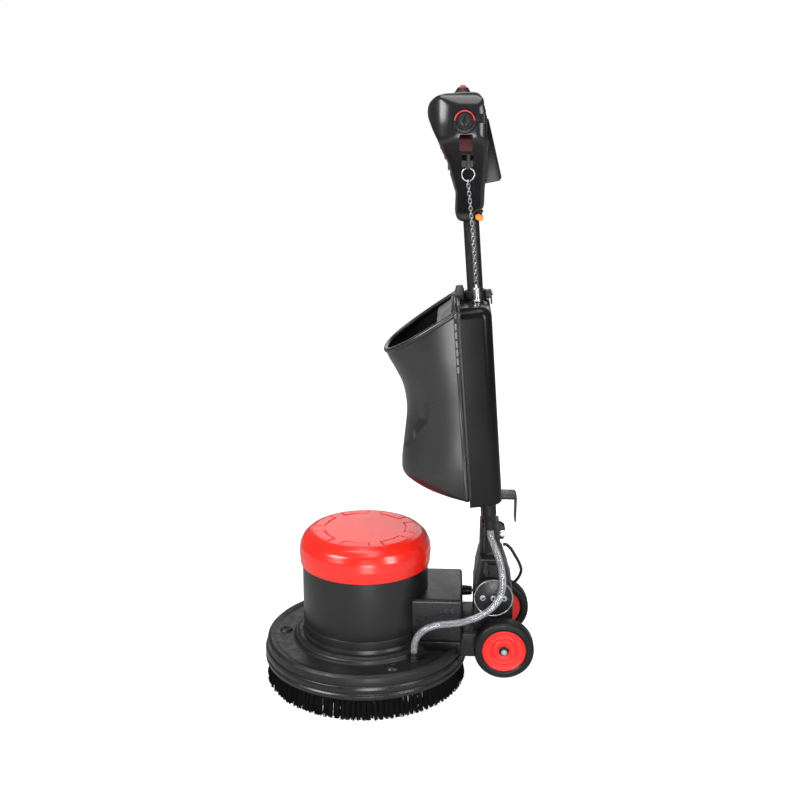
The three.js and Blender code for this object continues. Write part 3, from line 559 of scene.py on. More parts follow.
lay_line("hose", HOSE_POINTS, HOSE_RADIUS, HOSE, "solution_hose", inner=HOSE_BORE)
lay_line("motor_lead", CABLE_POINTS, CABLE_RADIUS, CABLE, "motor_cable")


# ---- Deck and bumper ----
def make_deck():
    outside = [(213, 52), (213, 84), (211.5, 92), (206, 97.2), (199, 95.4), (192, 91.8), (158, 91.2),
               (153.4, 92.4), (151.6, 98.6), (150, 100.8), (147.8, 100.6), (143, 104.2), (34.6, 104.2)]
    inside = [(34.6, 97), (146, 97), (150, 85), (196, 85), (205, 82), (207, 52)]
    add("deck", ring(outside + inside, 192, 2), "base", CAST, "base_deck", sharp=50)


def make_bumper():
    profile = [(213.3, 46.5), (215.6, 46.5), (217.4, 49.6), (217.4, 55.6), (214.6, 58.4), (214.6, 60.6),
               (217.4, 63.4), (217.4, 69.4), (215.6, 74.4), (213.3, 76.2)]
    add("bumper", ring(profile, 192, 2.4), "base", BUMPER, "bumper_ring", sharp=60)


BOSS_TURNS = [67.5, 180, 292.5]
BOSS_CIRCLE = 174


def make_deck_bosses():
    """Raised bosses round the deck's dish, each with a sunk socket screw."""
    boss = [(0, 90), (17, 90), (14, 91.5), (12, 95), (10, 96.4), (7, 96.4), (6.4, 93.4), (0, 93.4)]
    head = [(0, 93), (5.4, 93), (5.4, 95.6), (4.6, 96.2), (3, 96.2), (2.8, 94), (0, 94)]
    bosses, screws = [], []
    for turn in BOSS_TURNS:
        angle = math.radians(turn)
        spot = Matrix.Translation((BOSS_CIRCLE * math.cos(angle), BOSS_CIRCLE * math.sin(angle), 0))
        bosses.append(moved(solid(boss, 32, 1.2, 3), spot))
        screws.append(moved(solid(head, 24, 0.5, 2), spot))
    add("deck_bosses", joined(*bosses), "base", CAST)
    add("deck_screws", joined(*screws), "base", TRIM)


# ---- Brush ----
# Each row's radius, its number of tufts and the filaments drawn in each.
TUFT_ROWS = [(206, 116, 15), (200, 110, 13), (193, 100, 10), (185, 90, 8), (174, 74, 6), (160, 62, 5),
             (144, 52, 5), (126, 44, 5), (106, 36, 5)]
TUFT_TOP, TUFT_SPLAY, FILAMENT = 49, 8.0, 1.15


def make_tufts():
    """Rows of tufts, each a bunch of filaments that splays outwards and is cut off level with the floor."""
    rng = random.Random(7)
    filaments = []
    for radius, count, strands in TUFT_ROWS:
        splay = TUFT_SPLAY * (radius / TUFT_ROWS[0][0]) ** 5
        for i in range(count):
            angle = 2 * math.pi * (i + rng.uniform(-0.16, 0.16)) / count
            outward = Vector((math.cos(angle), math.sin(angle), 0))
            onward = Vector((-math.sin(angle), math.cos(angle), 0))
            root = outward * (radius - 4)
            for _ in range(strands):
                turn, reach = rng.uniform(0, 2 * math.pi), math.sqrt(rng.random())
                offset = outward * math.cos(turn) * reach + onward * math.sin(turn) * reach
                start = root + offset * 3.0 + Vector((0, 0, TUFT_TOP))
                end = root + offset * 5.0 + outward * splay + Vector((0, 0, rng.uniform(0, 1.2)))
                curl = outward * rng.uniform(-0.9, 0.9) + onward * rng.uniform(-1.1, 1.1)
                middle = start * 0.45 + end * 0.55 + curl
                filaments.append(sweep([start, middle, end], FILAMENT, 4))
    add("tufts", joined(*filaments), "brush", NYLON, "bristle_ring", sharp=80)


def make_brush_block():
    profile = [(40, 47), (204, 47), (205, 48), (205, 60), (204, 61), (80, 61), (80, 72), (64.2, 72),
               (64.2, 57), (40, 57)]
    add("brush_back", ring(profile, 128, 1.2), "brush", BLOCK, "brush_block")


# ---- Motor ----
def make_shroud():
    outside = [(136.4, 104.4), (135.6, 108), (133.6, 113), (133.3, 130.8), (132.2, 131.5), (132.2, 132.6),
               (133.4, 133.4), (133.4, 265)]
    inside = [(130.6, 265), (130.6, 104.4)]
    add("shroud", ring(outside + inside, 160, 0.8), "base", SHROUD, "motor_shroud", sharp=50)


PETALS, PETAL_INNER, PETAL_HALF, PETAL_TURN = 7, 86.0, math.radians(17.2), math.radians(4.6)
PETAL_SINK, GROOVE_DEPTH, GROOVE_WIDTH = 0.35, 1.7, 1.2
PETAL_FADE, FADE_WIDTH = 103, 9     # the petals run out on the hood's shoulder from this radius on
CROWN, CROWN_HEIGHT = 96, 332.8
HOOD_TURNS = 640


def groove(radius, angle):
    """How far the hood's top lies below its smooth shape: a little between the petals that are pressed into
    it, and more in the thin line round each of them."""
    pitch = 2 * math.pi / PETALS
    off = abs((angle - PETAL_TURN + pitch / 2) % pitch - pitch / 2)
    across, along = (PETAL_HALF - off) * radius, radius - PETAL_INNER
    inside = across > 0 and along > 0
    away = min(across, along) if inside else math.hypot(min(across, 0), min(along, 0))
    fade = 1 - ease((radius - PETAL_FADE) / FADE_WIDTH)
    return fade * (GROOVE_DEPTH * math.exp(-(away / GROOVE_WIDTH) ** 2) + (0 if inside else PETAL_SINK))


def make_hood():
    """The red hood: a fine surface over its top and shoulder, for the petals, and a plain one below."""
    outer = fillet([(136.8, 262.2), (137.8, 263), (139.5, 286), (137.6, 303), (131.5, 317), (120, 327.3),
                    (107, 332), (CROWN, CROWN_HEIGHT)], 14, 6, closed=False)
    crown = [(CROWN - i * 1.2, CROWN_HEIGHT + 0.6 * (1 - (1 - i / 80) ** 2)) for i in range(1, 80)]
    rings = []
    for (r0, z0), (r1, z1) in zip([*outer, *crown], [*outer[1:], *crown, crown[-1]]):
        parts = 1 + int(math.hypot(r1 - r0, z1 - z0) / 1.1) if r0 > 80 else 1
        rings += [(r0 + (r1 - r0) * k / parts, z0 + (z1 - z0) * k / parts) for k in range(parts)]
    turns = [2 * math.pi * k / HOOD_TURNS for k in range(HOOD_TURNS)]
    fade_end = PETAL_FADE + FADE_WIDTH + 1
    rows = [[(radius * math.cos(a), radius * math.sin(a), z - (groove(radius, a) if radius < fade_end else 0))
             for a in turns] for radius, z in rings]
    inner = [(134.4, 262.2), (135, 286), (131, 306), (118, 320), (100, 328), (1.2, 328)]
    below = [[(r * math.cos(a), r * math.sin(a), z) for a in turns] for r, z in inner]
    shape = grid([*reversed(below), *rows], around=True, caps=True)
    add("hood", shape, "base", HOOD, "motor_hood", sharp=60)


# ---- Frame, box, wheels ----
def make_frame():
    foot = build("frame_foot", slab(96, 206, 60, 112, -82, 82, 3), bevel=2.5)
    deck_room = [(0, 20), (219.8, 20), (219.8, 82), (213.6, 84.6), (211.8, 92.6), (206, 97.8), (199, 96),
                 (192, 92.4), (158, 91.8), (153, 93.2), (148.5, 101), (143, 104.8), (0, 104.8)]
    cut(foot, solid(deck_room, 128), rod(137.4, 50, 150, 128))
    show(foot, "base", CAST, "wheel_frame")
    arm = prism(fillet([(204, 78), (264, 78), (264, 131), (209, 131), (204, 124)], 4), -80, 80)
    add("frame_arm", arm, "base", CAST, bevel=3.5, segments=4)
    beam = [(256, 97), (AXLE_X, 96), *arc(AXLE_X, AXLE_Z, 16, -80, 80, 10), (256, 128)]
    add("frame_beam", prism(fillet(beam, 2), -79.4, 79.4), "base", STEEL_BLACK, bevel=1.5)
    plate = fillet([(PIVOT_X - 41, 93), (AXLE_X - 12, 92), (PIVOT_X + 41, 110),
                    *arc(PIVOT_X, PIVOT_Z, 41, 0, 180, 24)], 4)
    for name, side in SIDES:
        add(f"frame_side_{name}", prism(plate, *mirrored(side, 49, 62)), "base", STEEL_BLACK, bevel=1.2)


def make_discs():
    """A dark disc over each end of the pivot, with a bright rim and three capped bolts."""
    rim = [(38.6, 62.6), (41, 62.6), (41, 65.2), (40.4, 65.9), (39.2, 65.9), (38.6, 65.4)]
    dark = [(0, 62.3), (38.8, 62.3), (38.8, 65.2), (38, 65.8), (0, 65.8)]
    washer = [(0, 65.5), (6.4, 65.5), (6.4, 66.6), (6, 67), (0, 67)]
    head = [(0, 66.8), (4.6, 66.8), (4.6, 69), (4, 69.6), (2.6, 69.6), (2.4, 68), (0, 68)]
    plug = [(0, 67.6), (2.5, 67.6), (2.5, 68.6), (0, 68.6)]
    for name, side in SIDES:
        bolts, plugs = [], []
        for x in (-22, 0, 22):
            for kept, profile, segments in ((bolts, washer, 28), (bolts, head, 6), (plugs, plug, 16)):
                kept.append(lying(solid, side, profile, PIVOT_X + x, PIVOT_Z, segments))
        bright = lying(ring, side, rim, PIVOT_X, PIVOT_Z, 96)
        add(f"pivot_rim_{name}", bright, "base", ZINC, f"pivot_disc_{name}")
        add(f"pivot_face_{name}", lying(solid, side, dark, PIVOT_X, PIVOT_Z, 96), "base", STEEL_BLACK)
        add(f"pivot_bolts_{name}", joined(*bolts), "base", ZINC)
        add(f"pivot_plugs_{name}", joined(*plugs), "base", TRIM)


def make_box():
    """The electrical box: a softly rounded, hollow cover that hugs the shroud."""
    cover = build("box_shell", slab(92, 208, 113, 207.6, -85, 85, 9, steps=6),
                  bevel=6.5, segments=5, limit=50)
    inside = prism([(80, 100), (204, 100), (204, 203.5), (80, 203.5)], -81, 81)
    cut(cover, inside, rod(134.2, 90, 280, 128), moved(rod(7.5, 190, 220, 32), GLAND))
    smooth_by_angle(cover.data, 35)
    show(cover, "base", BOX, "box_cover")


def make_gland():
    """The cable's gland: a nut and a tapered, ribbed boot."""
    first, pitch, taper = 209, 4.2, 0.16
    profile = [(5.2, 196), (7, 196), (7, 203.4), (13, 203.6), (13, 208), (11.8, first)]
    for rib in range(5):
        z = first + rib * pitch
        radius = 11.8 - (z - first) * taper
        profile += [(10.6, z + 0.4), (10.6, z + 1.6), (radius, z + 2.2), (radius, z + 3.6)]
    profile += [(6.2, 229.8), (5.2, 229.8)]
    add("lead_gland", moved(ring(profile, 40, 0.5, 2), GLAND), "base", TRIM, "cable_gland")


def make_barb():
    profile = [(0, 90.6), (11, 90.6), (11, 92), (9.6, 93), (9.4, 98), (7.4, 99.4), (7.4, 106.4), (0, 106.4)]
    clip = [(6.9, 108), (7.9, 108), (8.1, 110), (7.9, 112), (6.9, 112)]
    add("deck_barb", moved(solid(profile, 32, 0.6, 2), BARB), "base", TRIM, "hose_barb")
    add("hose_clip", moved(ring(clip, 32), BARB), "base", ZINC)


def make_wheels():
    tyre = [(45.2, 86.4), (47, 84.6), (54, 84), (58.6, 85.2), (61.4, 89), (62, 93), (62, 112), (61.4, 116),
            (58.6, 119.8), (56, 120.6), (54.6, 120.1), (53.6, 120.9), (50, 121), (47, 120.4), (45.2, 118.8)]
    hub = [(6.9, 82), (15, 82), (15, 90), (45, 90), (45, 118.2), (44, 119.2), (42.4, 119.2), (41.4, 118),
           (40.2, 116.2), (31, 115.4), (29.8, 116.4), (28.4, 116.4), (27.2, 115), (24.6, 113.6),
           (23.4, 117.2), (22, 118.2), (17, 118.2), (15.6, 116.6), (6.9, 116.4)]
    collar = [(0, 116.6), (10.4, 116.6), (10.4, 118.4), (9.4, 119.2), (6.8, 119.2), (6.6, 118), (0, 118)]
    nut = [(0, 117.8), (6.4, 117.8), (6.4, 121.2), (5.4, 123), (3.4, 124), (0, 124.3)]
    for name, side in SIDES:
        for label, profile, look, node in (("tyre", tyre, TYRE, "tyre"), ("hub", hub, HUB, "wheel_hub")):
            wheel = lying(ring, side, profile, AXLE_X, AXLE_Z, 96, 1.4, 3)
            add(f"{label}_{name}_wheel", wheel, f"wheel_{name}", look, f"{node}_{name}", sharp=50)
        add(f"axle_collar_{name}", lying(solid, side, collar, AXLE_X, AXLE_Z, 48, 0.5, 3), "base", TRIM)
        add(f"axle_nut_{name}", lying(solid, side, nut, AXLE_X, AXLE_Z, 32, 0.5, 3), "base", BRIGHT)


# ---- Lower handle ----
LUG_BOLT = (290, 331)


def make_casting():
    """The casting that swings on the pivot and clamps the tube: a ribbed fork, a neck and a split lug."""
    fork = [*arc(PIVOT_X, PIVOT_Z, 41, -180, 0, 32), (311, 218), (303, 250), (292, 282), (290, 286),
            (243, 286), (241, 282), (234, 250), (232, 218)]
    body = build("casting_fork", prism(fillet(fork, 3), -47.6, 47.6), bevel=3, segments=4)
    pocket = fillet([(250, 251), (252, 280), (258, 280), (257, 251)], 1.5)
    rib = [(263, 250), (294, 250), (290, 255), (263, 255)]
    pockets = []
    for _, side in SIDES:
        ends = mirrored(side, 45.4, 52)
        pockets.append(prism(pocket, *ends))
        for step in range(3):
            pockets.append(prism(fillet([(x - step * 1.2, z + step * 8.4) for x, z in rib], 1), *ends))
    cut(body, joined(*pockets), about_y(rod(10.4, -70, 70, 48), PIVOT_X, PIVOT_Z))
    show(body, "handle", CAST, "tilt_casting")

    neck = [(242, 280), (290, 280), (286, 300), (284, 330), (282.4, 356), (243, 356)]
    throat = build("casting_neck", prism(fillet(neck, 3), -23.6, 23.6), bevel=5, segments=5)
    side_groove = fillet([(249, 284), (252.5, 284), (254, 350), (250.5, 350)], 1.2)
    grooves = [prism(side_groove, *mirrored(side, 21.6, 28)) for _, side in SIDES]
    cut(throat, joined(*grooves))
    show(throat, "handle", CAST)

    lug = fillet([(278, 316), (292, 317), (296, 326), (294.6, 342), (287, 348), (278, 348)], 4)
    ear = build("casting_lug", prism(lug, -13, 13), bevel=2.4, segments=4)
    cut(ear, block(276, 305, -1.5, 1.5, 300, 360))
    show(ear, "handle", CAST)

    washer = [(0, 13.9), (7, 13.9), (7, 15.2), (0, 15.2)]
    head = [(0, 15), (5.6, 15), (5.6, 18.2), (4.8, 19), (0, 19)]
    bolt = [lying(solid, side, profile, *LUG_BOLT, segments)
            for _, side in SIDES for profile, segments in ((washer, 28), (head, 6))]
    add("lug_bolt", joined(*bolt), "handle", BRIGHT, "clamp_bolt")


def make_tube():
    wall = [(13.6, 36), (15.75, 36), (15.75, 855), (13.6, 855)]
    add("mast", ring(wall, 64), "handle", STEEL_BLACK, "handle_tube", where=HANDLE)
    head = solid([(0, 15.4), (5.2, 15.4), (5.2, 18.6), (4.4, 19.4), (0, 19.4)], 6)
    spot = Matrix.Translation((0, 0, 206)) @ Matrix.Rotation(-math.pi / 2, 4, "Z") @ ALONG_X
    add("hook_screw", moved(head, spot), "handle", ZINC, where=HANDLE)


def make_hook():
    """A strap hook: a collar on the tube, a flat arm and a downturned prong."""
    collar = ring([(16, 198), (21, 198), (21, 214), (16, 214)], 64, 1.4)
    add("hook_collar", collar, "handle", STEEL_BLACK, "cord_hook", where=HANDLE)
    arm = [(275, 407.4), (311.2, 407.4), (313.6, 405), (313.6, 358), (317, 358), (317.9, 411), (314.6, 416.6),
           (275, 416.6)]
    add("hook_arm", prism(fillet(arm, 2.2), -19.6, 19.6), "handle", STEEL_BLACK, bevel=1.6)


# ---- Tank ----
# The bucket's section at each height: how far forward it reaches, and its half width.
SECTIONS = [
    (226, 60, 96), (236, 100, 104), (249, 134, 108), (264, 158, 110), (278, 171, 111), (303, 171, 112),
    (335, 165.5, 112), (367, 159.5, 112), (400, 154, 113), (425, 153.5, 114), (459, 158, 116),
    (493, 171, 118), (532, 187, 120), (624, 200, 120),
]
TANK_CURVE = [tuple(p) for p in spline(SECTIONS, 12)]
CREASE = [(311, 170), (330, 163), (356, 138), (372, 134), (401, 108), (440, 94), (486, 88)]
SQUARENESS = 0.82                   # 1 would be a plain half ellipse
SEAM = 37.3                         # how far the seam of the two halves lies in front of the tube's axis
TANK_FLOOR, TANK_TOP, TANK_WALL = 226.0, 622, 4.0
MOUTH_TIP, MOUTH_TIP_HEIGHT, MOUTH_REAR_HEIGHT = 187, 532, 616
MOUTH_SLOPE = (MOUTH_REAR_HEIGHT - MOUTH_TIP_HEIGHT) / (MOUTH_TIP - SEAM)


def tank_point(turn, height, inset=0.0):
    """A point of the bucket's outside, at a turn from 0 (far side) through the front to 1 (near side)."""
    angle = math.pi / 2 + math.pi * turn
    reach, half = lookup(TANK_CURVE, height)

    def squared(v):
        return math.copysign(abs(v) ** SQUARENESS, v)

    x = squared(math.cos(angle)) * (reach - SEAM - inset) - SEAM
    y = squared(math.sin(angle)) * (half - inset)
    past = -x - lookup(CREASE, height)[0]
    sharpness = 5 + 42 * ease((height - 350) / 130)
    strength = 15.0 * ease((height - 305) / 30) * (1 - ease((height - 440) / 110))
    squeeze = strength * ease(past / sharpness)
    y -= math.copysign(min(squeeze, abs(y) * 0.4), y)
    return Vector((x, y, height))


def rim_point(turn, inset=0.0):
    """The point of the bucket's outside where it meets the sloping plane of its mouth."""
    height = MOUTH_TIP_HEIGHT
    for _ in range(30):
        x = tank_point(turn, height, inset).x
        height = 0.5 * height + 0.5 * (MOUTH_TIP_HEIGHT + (MOUTH_TIP + x) * MOUTH_SLOPE)
    return tank_point(turn, height, inset)


def make_bucket():
    """The front half: an outer and an inner skin, closed at the rear, the mouth and the floor, and a rim."""
    across, up = 120, 110
    turns = [i / across for i in range(across + 1)]
    tops = [rim_point(turn).z for turn in turns]
    inner_tops = [rim_point(turn, TANK_WALL).z for turn in turns]
    outer, inner = [], []
    for r in range(up + 1):
        share = (r / up) ** 1.25
        heights = [TANK_FLOOR + (top - TANK_FLOOR) * share for top in tops]
        outer.append([tank_point(turn, height) for turn, height in zip(turns, heights)])
        heights = [max(TANK_FLOOR + TANK_WALL, TANK_FLOOR + (top - TANK_FLOOR) * share) for top in inner_tops]
        inner.append([tank_point(turn, height, TANK_WALL) for turn, height in zip(turns, heights)])
    outer_verts, outer_faces = grid(outer)
    inner_verts, inner_faces = grid(inner)
    count = len(outer_verts)
    wide = across + 1
    last = up * wide
    faces = outer_faces + [tuple(i + count for i in reversed(f)) for f in inner_faces]
    for i in range(last, last + across):
        faces.append((i, i + 1, i + 1 + count, i + count))
    for far in range(0, last, wide):
        near = far + across
        faces.append((far, far + wide, far + wide + count, far + count))
        faces.append((near, near + count, near + wide + count, near + wide))
    faces.append(tuple(range(wide)))
    faces.append(tuple(count + i for i in reversed(range(wide))))
    faces.append((0, count, count + across, across))
    add("bucket", (outer_verts + inner_verts, faces), "handle", TANK, "tank_front", where=HANDLE, sharp=70)
    rim = [rim_point(turn, 2.0) + Vector((0, 0, 0.8)) for turn in turns]
    add("bucket_rim", sweep(rim, 5.4, 20), "handle", TANK, where=HANDLE, sharp=60)


def make_flange():
    """The two flat flanges that the tank's halves are welded at, with a slot between them."""
    outline = fillet([(-112, 233), (112, 233), (124, 247), (124, 618), (112, 630), (-112, 630), (-124, 618),
                      (-124, 247)], 6)
    room = slab(-106, 106, 240, 596, -60, 0, 14, axis="X")
    front = build("flange_front", prism(outline, -SEAM - 8, -SEAM - 0.4, "X"), HANDLE, bevel=1.6)
    above = MOUTH_REAR_HEIGHT + 2
    mouth = prism([(-200, above), (200, above), (200, 700), (-200, 700)], -60, 0, "X")
    cut(front, room, mouth, where=HANDLE)
    show(front, "handle", TANK)
    rear = build("flange_rear", prism(outline, -SEAM + 0.4, -SEAM + 6, "X"), HANDLE, bevel=1.6)
    cut(rear, room, where=HANDLE)
    show(rear, "handle", TANK)


def make_flange_bands():
    """Raised bands with pressed recesses on the flange's near and far edges, and its two seam beads."""
    low, high = 242, 612
    for name, side in SIDES:
        strip = slab(-SEAM - 7.4, -SEAM - 2.2, low, high, *mirrored(side, 121.6, 125.4), 2)
        band = build(f"seam_band_{name}", strip, HANDLE, bevel=0.8)
        dents = [slab(-SEAM - 6.6, -SEAM - 3, z, z + 13, *mirrored(side, 125.0, 130), 1)
                 for z in range(500, 600, 17)]
        cut(band, joined(*dents), where=HANDLE)
        show(band, "handle", TANK)
        for number, x in ((1, -SEAM + 1.2), (2, -SEAM + 3.8)):
            bead = sweep([(x, side * 124.1, low), (x, side * 124.1, high)], 0.8, 10)
            add(f"seam_bead_{name}_{number}", bead, "handle", TANK, where=HANDLE)


def back_outline(inset):
    """The rear half's section, with a channel down its back for the tube. Every inset has as many points."""
    half, rear, channel, bend, draft = 119.6 - inset, 28.5 - inset, 17.5, 20, 0.12
    corner = [(x, y - draft * (x + SEAM)) for x, y in arc(rear - bend, half - bend, bend, 90, 0, 12)]
    lip = [(rear, channel + 7), (rear - 1, channel + 3.5), (rear - 4, channel + 0.6), (rear - 8, channel)]
    bay = [*lip, (-channel + 4, channel), (-channel, channel - 4)]
    flat = [(rear, corner[-1][1] * (1 - k / 6) + (channel + 7) * k / 6) for k in range(1, 6)]
    far = [(-SEAM + 1, half), *corner, *flat, *bay]
    return far + [(x, -y) for x, y in reversed(far)]


def make_tank_back():
    """The rear half: a blown box with generous corners, a room inside and two holes for the drain valve."""
    low, high, top_bend, low_bend = 219.5, TANK_TOP, 22.0, 9.0
    quarter = [math.radians(9 * k) for k in range(11)]
    rows = [(low + low_bend * (1 - math.cos(a)), low_bend * (1 - math.sin(a))) for a in quarter]
    rows += [(high - top_bend * (1 - math.sin(a)), top_bend * (1 - math.cos(a))) for a in quarter]
    shape = grid([[(x, y, z) for x, y in back_outline(inset)] for z, inset in rows], around=True, caps=True)
    back = build("tank_back", shape, HANDLE)
    half, rear, channel, bend = 105, 20, 22, 18
    corner = arc(rear - bend, half - bend, bend, 90, 0, 8)
    inside = [(-SEAM - 5, half), *corner, (rear, channel), (-channel, channel), (-channel, -channel),
              (rear, -channel), *[(x, -y) for x, y in reversed(corner)], (-SEAM - 5, -half)]
    holes = joined(moved(rod(3.6, 600, 630, 32), DRAIN), moved(rod(8, 212, 242, 32), DRAIN))
    cut(back, prism(inside, 236, 604, "Z"), holes, where=HANDLE)
    smooth_by_angle(back.data, 38)
    # Painted shade: the rear half takes the tank's grey darkened for shade.
    show(back, "handle", SHADED_GREY, "tank_rear")


def make_cover():
    """The grey cover over the rear of the mouth, and the post that bolts it down."""
    front, rear = -79, -SEAM - 8.4
    rear_top = MOUTH_REAR_HEIGHT - 8
    front_top = rear_top + MOUTH_SLOPE * (front - rear)
    plate = [(front, front_top - 3.6), (rear, rear_top - 3.6), (rear, rear_top + 12),
             (rear - 3.6, rear_top + 12), (rear - 3.6, rear_top), (front, front_top)]
    add("mouth_cover", prism(fillet(plate, 1.4), -97, 97),
        "handle", COVER, "filler_cover", where=HANDLE, bevel=0.9)
    base = TANK_TOP + 8.6
    bridge = slab(rear - 3, -24, base, base + 5.2, -11.6, 11.6, 1.6)
    add("cover_bridge", bridge, "handle", COVER, where=HANDLE, bevel=1)
    axis = Matrix.Translation((-31, 0, 0))
    post = [(0, base - 12), (10.6, base - 12), (10.6, base + 3), (9.4, base + 4), (9.2, base + 14),
            (0, base + 14)]
    add("cover_post", moved(solid(post, 48, 0.8, 3), axis), "handle", POST, where=HANDLE)
    cap = [(0, base + 13.6), (7.6, base + 13.6), (7.6, base + 18.6), (6.6, base + 19.6), (0, base + 19.6)]
    add("cover_bolt", moved(solid(cap, 24), axis), "handle", POST, where=HANDLE)


def make_clamp():
    """The clamp over the tank: a ring on the tube and a tail with a screw behind it."""
    low = TANK_TOP + 0.3
    collar = ring([(16, low), (21.5, low), (21.5, low + 17), (16, low + 17)], 72, 1.6)
    add("clamp_ring", collar, "handle", TRIM, "tank_clamp", where=HANDLE)
    tail = [(19.4, low), (29.4, low), (29.4, low - 12), (32.4, low - 12), (32.4, low + 15), (19.4, low + 15)]
    add("clamp_tail", prism(fillet(tail, 1.6), -12, 12), "handle", TRIM, where=HANDLE, bevel=1.2)
    screw = [(0, 31), (4.4, 31), (4.4, 34.6), (3.8, 35.4), (2.4, 35.4), (2.2, 33), (0, 33)]
    spot = Matrix.Translation((0, 0, low + 8)) @ ALONG_X
    add("clamp_screw", moved(solid(screw, 24), spot), "handle", ZINC, where=HANDLE)


def make_valve():
    """The chrome gland, the rod and its cone, and the spout that the hose hangs from."""
    gland = [(3.7, TANK_TOP + 0.4), (9.4, TANK_TOP + 0.4), (9.4, TANK_TOP + 3), (7.6, TANK_TOP + 4.4),
             (7.5, 647), (7, 649.6), (5.6, 650), (3.7, 650)]
    add("rod_gland", moved(ring(gland, 64, 0.8, 3), DRAIN), "handle", NICKEL, "valve_gland", where=HANDLE)
    stem = [(0, 216), (3, 216), (3, 228), (11.6, 229.4), (12, 231), (9, 237), (3, 238.4), (3, 653.6),
            (2.2, 655), (0, 655)]
    add("lift_rod", moved(solid(stem, 32), DRAIN), "valve_pull", ZINC, "valve_rod", where=HANDLE)
    spout = [(4.6, 213), (9, 217), (9, 224.4), (16.8, 224.4), (16.8, 217), (14.6, 214.4), (14.4, 178),
             (11.6, 164), (11.2, 146), (10.2, 144.2), (4.6, 144.2)]
    add("spout", moved(ring(spout, 64, 1, 3), DRAIN), "handle", TRIM, "outlet_spout", where=HANDLE)


# ---- Console ----
# Its outlines: from the side (x, z), half from the front (y, z) and half from above (x, y).
SIDE = [(162, 1222), (146, 1218), (135, 1209), (129.6, 1197), (131, 1179), (141, 1156), (150, 1139),
        (158, 1118), (166, 1103), (173, 1078), (178, 1061), (182.5, 1040), (181.5, 1000), (187, 981),
        (217, 981), (219, 1004), (237.4, 1004), (238.6, 1060), (241, 1172), (231, 1212), (222, 1225)]
HALF = [(32, 978), (36, 998), (118, 1077), (165, 1121), (190, 1145), (190.4, 1201), (182, 1217), (165, 1225)]
PLAN = [(127, -122), (130, -150), (140, -170), (155, -182), (172, -188.6), (197, -191.4), (222, -190),
        (238, -182), (244, -165)]
POCKET_SIDE = [(162, 1211), (149, 1207), (140, 1196), (141, 1180), (150, 1158), (159, 1141), (167, 1120),
               (175, 1105), (182, 1078), (190, 1040), (190, 1020), (275, 1020), (275, 1211)]
POCKET_HALF = [(46, 1024), (52, 1027), (118, 1089), (158, 1125), (178, 1148), (178, 1208), (46, 1208)]
POCKET_PLAN = [(139, -136), (146, -158), (159, -173), (178, -181), (290, -181)]
GRIP_X, GRIP_Z = 197, 1175
LEAN_START, LEAN_MOST = 1166, 8.0   # the height where the head's sides start to draw in, and how far they do


def lean_in(shell):
    """Bulges the head's sides: above the grips they draw in a little more with every millimetre."""
    for vertex in shell.data.vertices:
        height, side = vertex.co.z / MM - LEAN_START, vertex.co.y / MM
        if height > 0 and abs(side) > 100:
            share = min(1.0, (abs(side) - 100) / 60)
            vertex.co.y -= math.copysign(LEAN_MOST * share * (height / 50) ** 2 * MM, side)


def console_pocket(side):
    """The room inside one limb, open to the rear."""
    pocket = build("pocket", prism(fillet(POCKET_SIDE, 12, 4), *mirrored(side, 46, 182)))
    front = prism(fillet([(side * y, z) for y, z in POCKET_HALF], 12, 4), 100, 290, "X")
    hollow = [(x, side * -y) for x, y in POCKET_PLAN] + [(290, side * 40), (139, side * 40)]
    over = prism(fillet(hollow, 16, 4), 1000, 1230, "Z")
    return boolean(pocket, "INTERSECT", build("pocket_front", front), build("pocket_plan", over))


def console_cuts():
    """What is cut out of the softened console: rooms for the tube, the release lever, the button and the
    wiring, on each side the grip's recess, two windows and a parting line, and a slot for the strap."""
    wiring = [(165, 1204), (152, 1198), (148, 1180), (159, 1150), (173, 1120), (185, 1085), (190, 1070),
              (231, 1070), (231, 1204)]
    cuts = [
        moved(rod(16.05, 760, 880, 48), BASE.inverted() @ HANDLE),
        block(214, 262, -9, 9, 975, 1016),
        moved(rod(7, 1195, 1230, 32), BUTTON),
        prism(fillet(wiring, 4), -37, 37),
    ]
    rear_window = fillet([(218, 1172), (250, 1170), (250, 1187), (218, 1188)], 2)
    for _, side in SIDES:
        cuts.append(about_y(rod(22, *mirrored(side, 180.5, 196), 64), GRIP_X, GRIP_Z))
        cuts.append(slab(188, 212, 1122, 1152, *mirrored(side, 166, 200), 4))
        cuts.append(prism(rear_window, *mirrored(side, 184, 200)))
        cuts.append(block(196.5, 197.5, *mirrored(side, 188.6, 200), 1196, 1230))
    cuts.append(slab(193, 214, 1080, 1117, -168, -134, 3))
    return cuts


def make_console():
    """Two limbs and a head moulded as one shell, softened all over and then cut for its fittings."""
    shell = build("console", prism(fillet(SIDE, 14, 5), -200, 200))
    front = fillet(HALF + [(-y, z) for y, z in reversed(HALF)], 10, 5)
    over = fillet(PLAN + [(x, -y) for x, y in reversed(PLAN)], 30, 6)
    boolean(shell, "INTERSECT", build("console_front", prism(front, 90, 290, "X")),
            build("console_plan", prism(over, 970, 1240, "Z")))
    lean_in(soften(shell, 2.4, 30))
    boolean(shell, "DIFFERENCE", *[console_pocket(side) for _, side in SIDES])
    soften(shell, 2.0, 5)
    cut(shell, *console_cuts())
    smooth_by_angle(shell.data, 45)
    show(shell, "handle", ABS, "console_shell")


